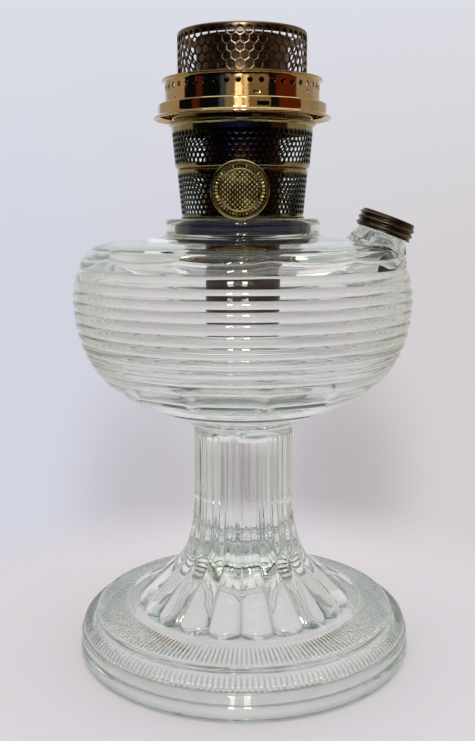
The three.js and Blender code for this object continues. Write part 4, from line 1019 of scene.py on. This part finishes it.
room = {
    "fill": 0.58, "fillColour": (1.0, 0.985, 0.97, 1),
    "wallLeft": (0.64, 0.66, 0.76, 1), "wallRight": (0.66, 0.615, 0.61, 1),
    "wallHigh": (0.72, 0.735, 0.80, 1), "wallLow": (0.62, 0.60, 0.64, 1),
    "clearHigh": (0.80, 0.785, 0.80, 1), "clearLow": (0.50, 0.475, 0.485, 1),
    "paintedShadows": [((-0.123, 0.946, -0.299), (0.84, 0.80, 0.78, 1)),
               ((0.072, 0.957, -0.279), (0.76, 0.73, 0.73, 1))],
    "paintedShadowSize": (0.115, 0.02), "overhead": (0.42, 0.46, 0.42, 1), "throughGlass": (0.60, 0.62, 0.60, 1),
    "fainter": 0.78, "table": (0.80, 0.765, 0.825, 1),
    "tableFade": (0.125, 0.26), "mirroredFade": (0.10, 0.26),
    "windowPower": 2.7, "windowSize": (0.088, 0.44), "ceilingPower": 6.0, "turn": 2.0,
    # what stands in front of the lamp, by its direction in degrees from left to right
    "front": [(-150, (0.42, 0.39, 0.38)), (-118, (0.46, 0.36, 0.26)), (-94, (0.004, 0.004, 0.006)),
              (-71, (0.08, 0.017, 0.008)), (-61, (0.003, 0.003, 0.006)), (-32, (0.05, 0.09, 0.16)),
              (-24, (0.28, 0.24, 0.18)), (-10.5, (2.0, 1.85, 1.6)), (-1, (0.6, 0.46, 0.26)),
              (1.5, (1.3, 1.1, 0.75)), (7, (0.27, 0.20, 0.13)), (37, (0.006, 0.006, 0.012)),
              (49, (0.12, 0.02, 0.006)), (85, (0.40, 0.34, 0.27)), (125, (0.48, 0.45, 0.44)), (155, None)],
    "frontLow": [(-150, (0.50, 0.47, 0.42)), (-118, (0.36, 0.34, 0.25)), (-87, (0.002, 0.002, 0.004)),
                 (-32, (0.003, 0.004, 0.07)), (8.5, (0.002, 0.002, 0.004)), (47, (0.05, 0.014, 0.007)),
                 (76, (0.38, 0.33, 0.22)), (125, (0.55, 0.51, 0.44)), (155, None)],
}


def frontBands(world, around, bandList):
    ramp = addNode(world, "ValToRGB", {0: around})
    ramp.color_ramp.interpolation = "CONSTANT"
    bands = ramp.color_ramp.elements
    bands[0].color = (0, 0, 0, 0)
    bands.remove(bands[1])
    for start, colour in bandList:
        band = bands.new((start + room["turn"]) / 360 + 0.5)
        band.color = tuple(colour) + (1,) if colour else (0, 0, 0, 0)
    return ramp.outputs


def softStep(material, value, fromLow, fromHigh):
    return remap(material, value, fromLow, fromHigh, interpolation_type="SMOOTHSTEP")


def paintedWall(world, place, split, rays):
    wall = mixColours(world, remap(world, split[0], -0.28, 0.28), room["wallLeft"], room["wallRight"])
    wall = mixColours(world, remap(world, split[2], -0.05, 0.24), wall, room["wallHigh"])
    wall = mixColours(world, remap(world, split[2], -0.30, -0.45), wall, room["wallLow"])
    clear = mixColours(world, remap(world, split[2], -0.26, -0.16), room["clearLow"], room["clearHigh"])
    wall = mixColours(world, rays["Is Transmission Ray"], wall, clear)
    flat = addNode(world, "VectorMath", {0: place, 1: (1, 1, 0.6)}, operation="MULTIPLY").outputs[0]
    for aim, shade in room["paintedShadows"]:  # painted shadows: the lamp's soft shadows painted on the wall behind it
        away = addNode(world, "VectorMath", {0: flat, 1: (aim[0], aim[1], aim[2] * 0.6)},
                       operation="DISTANCE").outputs["Value"]
        soft = softStep(world, away, *room["paintedShadowSize"])
        wall = mixColours(world, soft, wall, mixColours(world, 1.0, wall, shade, "MULTIPLY"))
    return wall


def litRoom():
    world = bpy.data.worlds.new("room")
    scene.world = world
    world.use_nodes = True
    fill = world.node_tree.nodes["Background"]
    fill.inputs["Color"].default_value = room["fillColour"]
    fill.inputs["Strength"].default_value = room["fill"]
    place = textureCoordinate(world, "Generated")
    split = addNode(world, "SeparateXYZ", {0: place}).outputs
    rays = addNode(world, "LightPath").outputs
    wall = paintedWall(world, place, split, rays)
    # the darker room in front shows in bright metal and in the edges of the glass
    around = math2(world, "ARCTAN2", split[0], math2(world, "MULTIPLY", split[1], -1.0))
    around = remap(world, around, -math.pi, math.pi)
    high, low = frontBands(world, around, room["front"]), frontBands(world, around, room["frontLow"])
    level = remap(world, split[2], 0.05, 0.09)
    bands = mixColours(world, level, low["Color"], high["Color"])
    share = addNode(world, "Mix", {0: level, 2: low["Alpha"], 3: high["Alpha"]}).outputs[0]
    fainter = math2(world, "MULTIPLY", rays["Is Transmission Ray"], room["fainter"])  # seen through the glass
    bands = mixColours(world, fainter, bands, room["throughGlass"])
    share = math2(world, "MULTIPLY", share, math2(world, "SUBTRACT", 1.0, rays["Is Camera Ray"]))
    seen = mixColours(world, share, wall, bands)
    seen = mixColours(world, remap(world, split[2], 0.55, 0.8), seen, room["overhead"])
    shown = addNode(world, "Background", {"Color": seen})
    clear = math2(world, "MAXIMUM", rays["Is Camera Ray"], math2(
        world, "MAXIMUM", rays["Is Glossy Ray"], rays["Is Transmission Ray"]))
    mix = addNode(world, "MixShader", {0: clear, 1: fill.outputs[0], 2: shown.outputs[0]})
    joinSockets(world, mix.outputs[0], world.node_tree.nodes["World Output"].inputs["Surface"])


def addWindow(name, place, aim, size, power):
    data = bpy.data.lights.new(name, "AREA")
    data.shape = "RECTANGLE"
    data.size, data.size_y = size
    data.energy = power
    data.color = (1, 0.98, 0.95)
    light = bpy.data.objects.new(name, data)
    scene.collection.objects.link(light)
    light.location = place
    light.rotation_euler = (Vector(aim) - Vector(place)).to_track_quat("-Z", "Y").to_euler()


def makeFloor():
    clearSelection()
    bpy.ops.mesh.primitive_circle_add(vertices=96, radius=1.6, fill_type="TRIFAN", location=(0, 0, -0.0003))
    floor = namePiece("tableTop")
    material, shader = newMaterial("paleTable", Base_Color=room["table"], Roughness=0.9,
                                   Specular_IOR_Level=0.1)
    away = addNode(material, "VectorMath", {0: textureCoordinate(material)},
                   operation="LENGTH").outputs["Value"]
    far = softStep(material, away, *room["tableFade"])
    near = softStep(material, away, *room["mirroredFade"])
    rays = addNode(material, "LightPath").outputs
    fade = math2(material, "MAXIMUM", far, math2(material, "MULTIPLY", rays["Is Glossy Ray"], near))
    clear = addNode(material, "BsdfTransparent")
    mix = addNode(material, "MixShader", {0: fade, 1: shader.outputs[0], 2: clear.outputs[0]})
    joinSockets(material, mix.outputs[0], material.node_tree.nodes["Material Output"].inputs["Surface"])
    floor.data.materials.append(material)


litRoom()
makeFloor()
for name, across in (("windowLeft", -0.142), ("windowRight", 0.080)):
    addWindow(name, (across, -1.17, 0.855), (0, 0, 0.18), room["windowSize"], room["windowPower"])
addWindow("ceiling", (0.1, 0.2, 1.5), (0, 0, 0.1), (1.4, 1.4), room["ceilingPower"])

# the camera's place is in millimetres, its turns in degrees
view = {"lens": 45.33, "sensor": 36, "place": (-2.4, -446.0, 212.7), "pitch": 9.53, "roll": 0.22, "turn": 2.0}
cameraData = bpy.data.cameras.new("photoView")
cameraData.lens = view["lens"]
cameraData.sensor_width = view["sensor"]
camera = bpy.data.objects.new("photoView", cameraData)
scene.collection.objects.link(camera)
camera.location = Matrix.Rotation(math.radians(view["turn"]), 3, "Z") @ Vector(view["place"]) * mm
camera.rotation_euler = [math.radians(turn) for turn in (90 - view["pitch"], view["roll"], view["turn"])]
scene.camera = camera
scene.view_settings.view_transform = "Standard"
print("room lit")
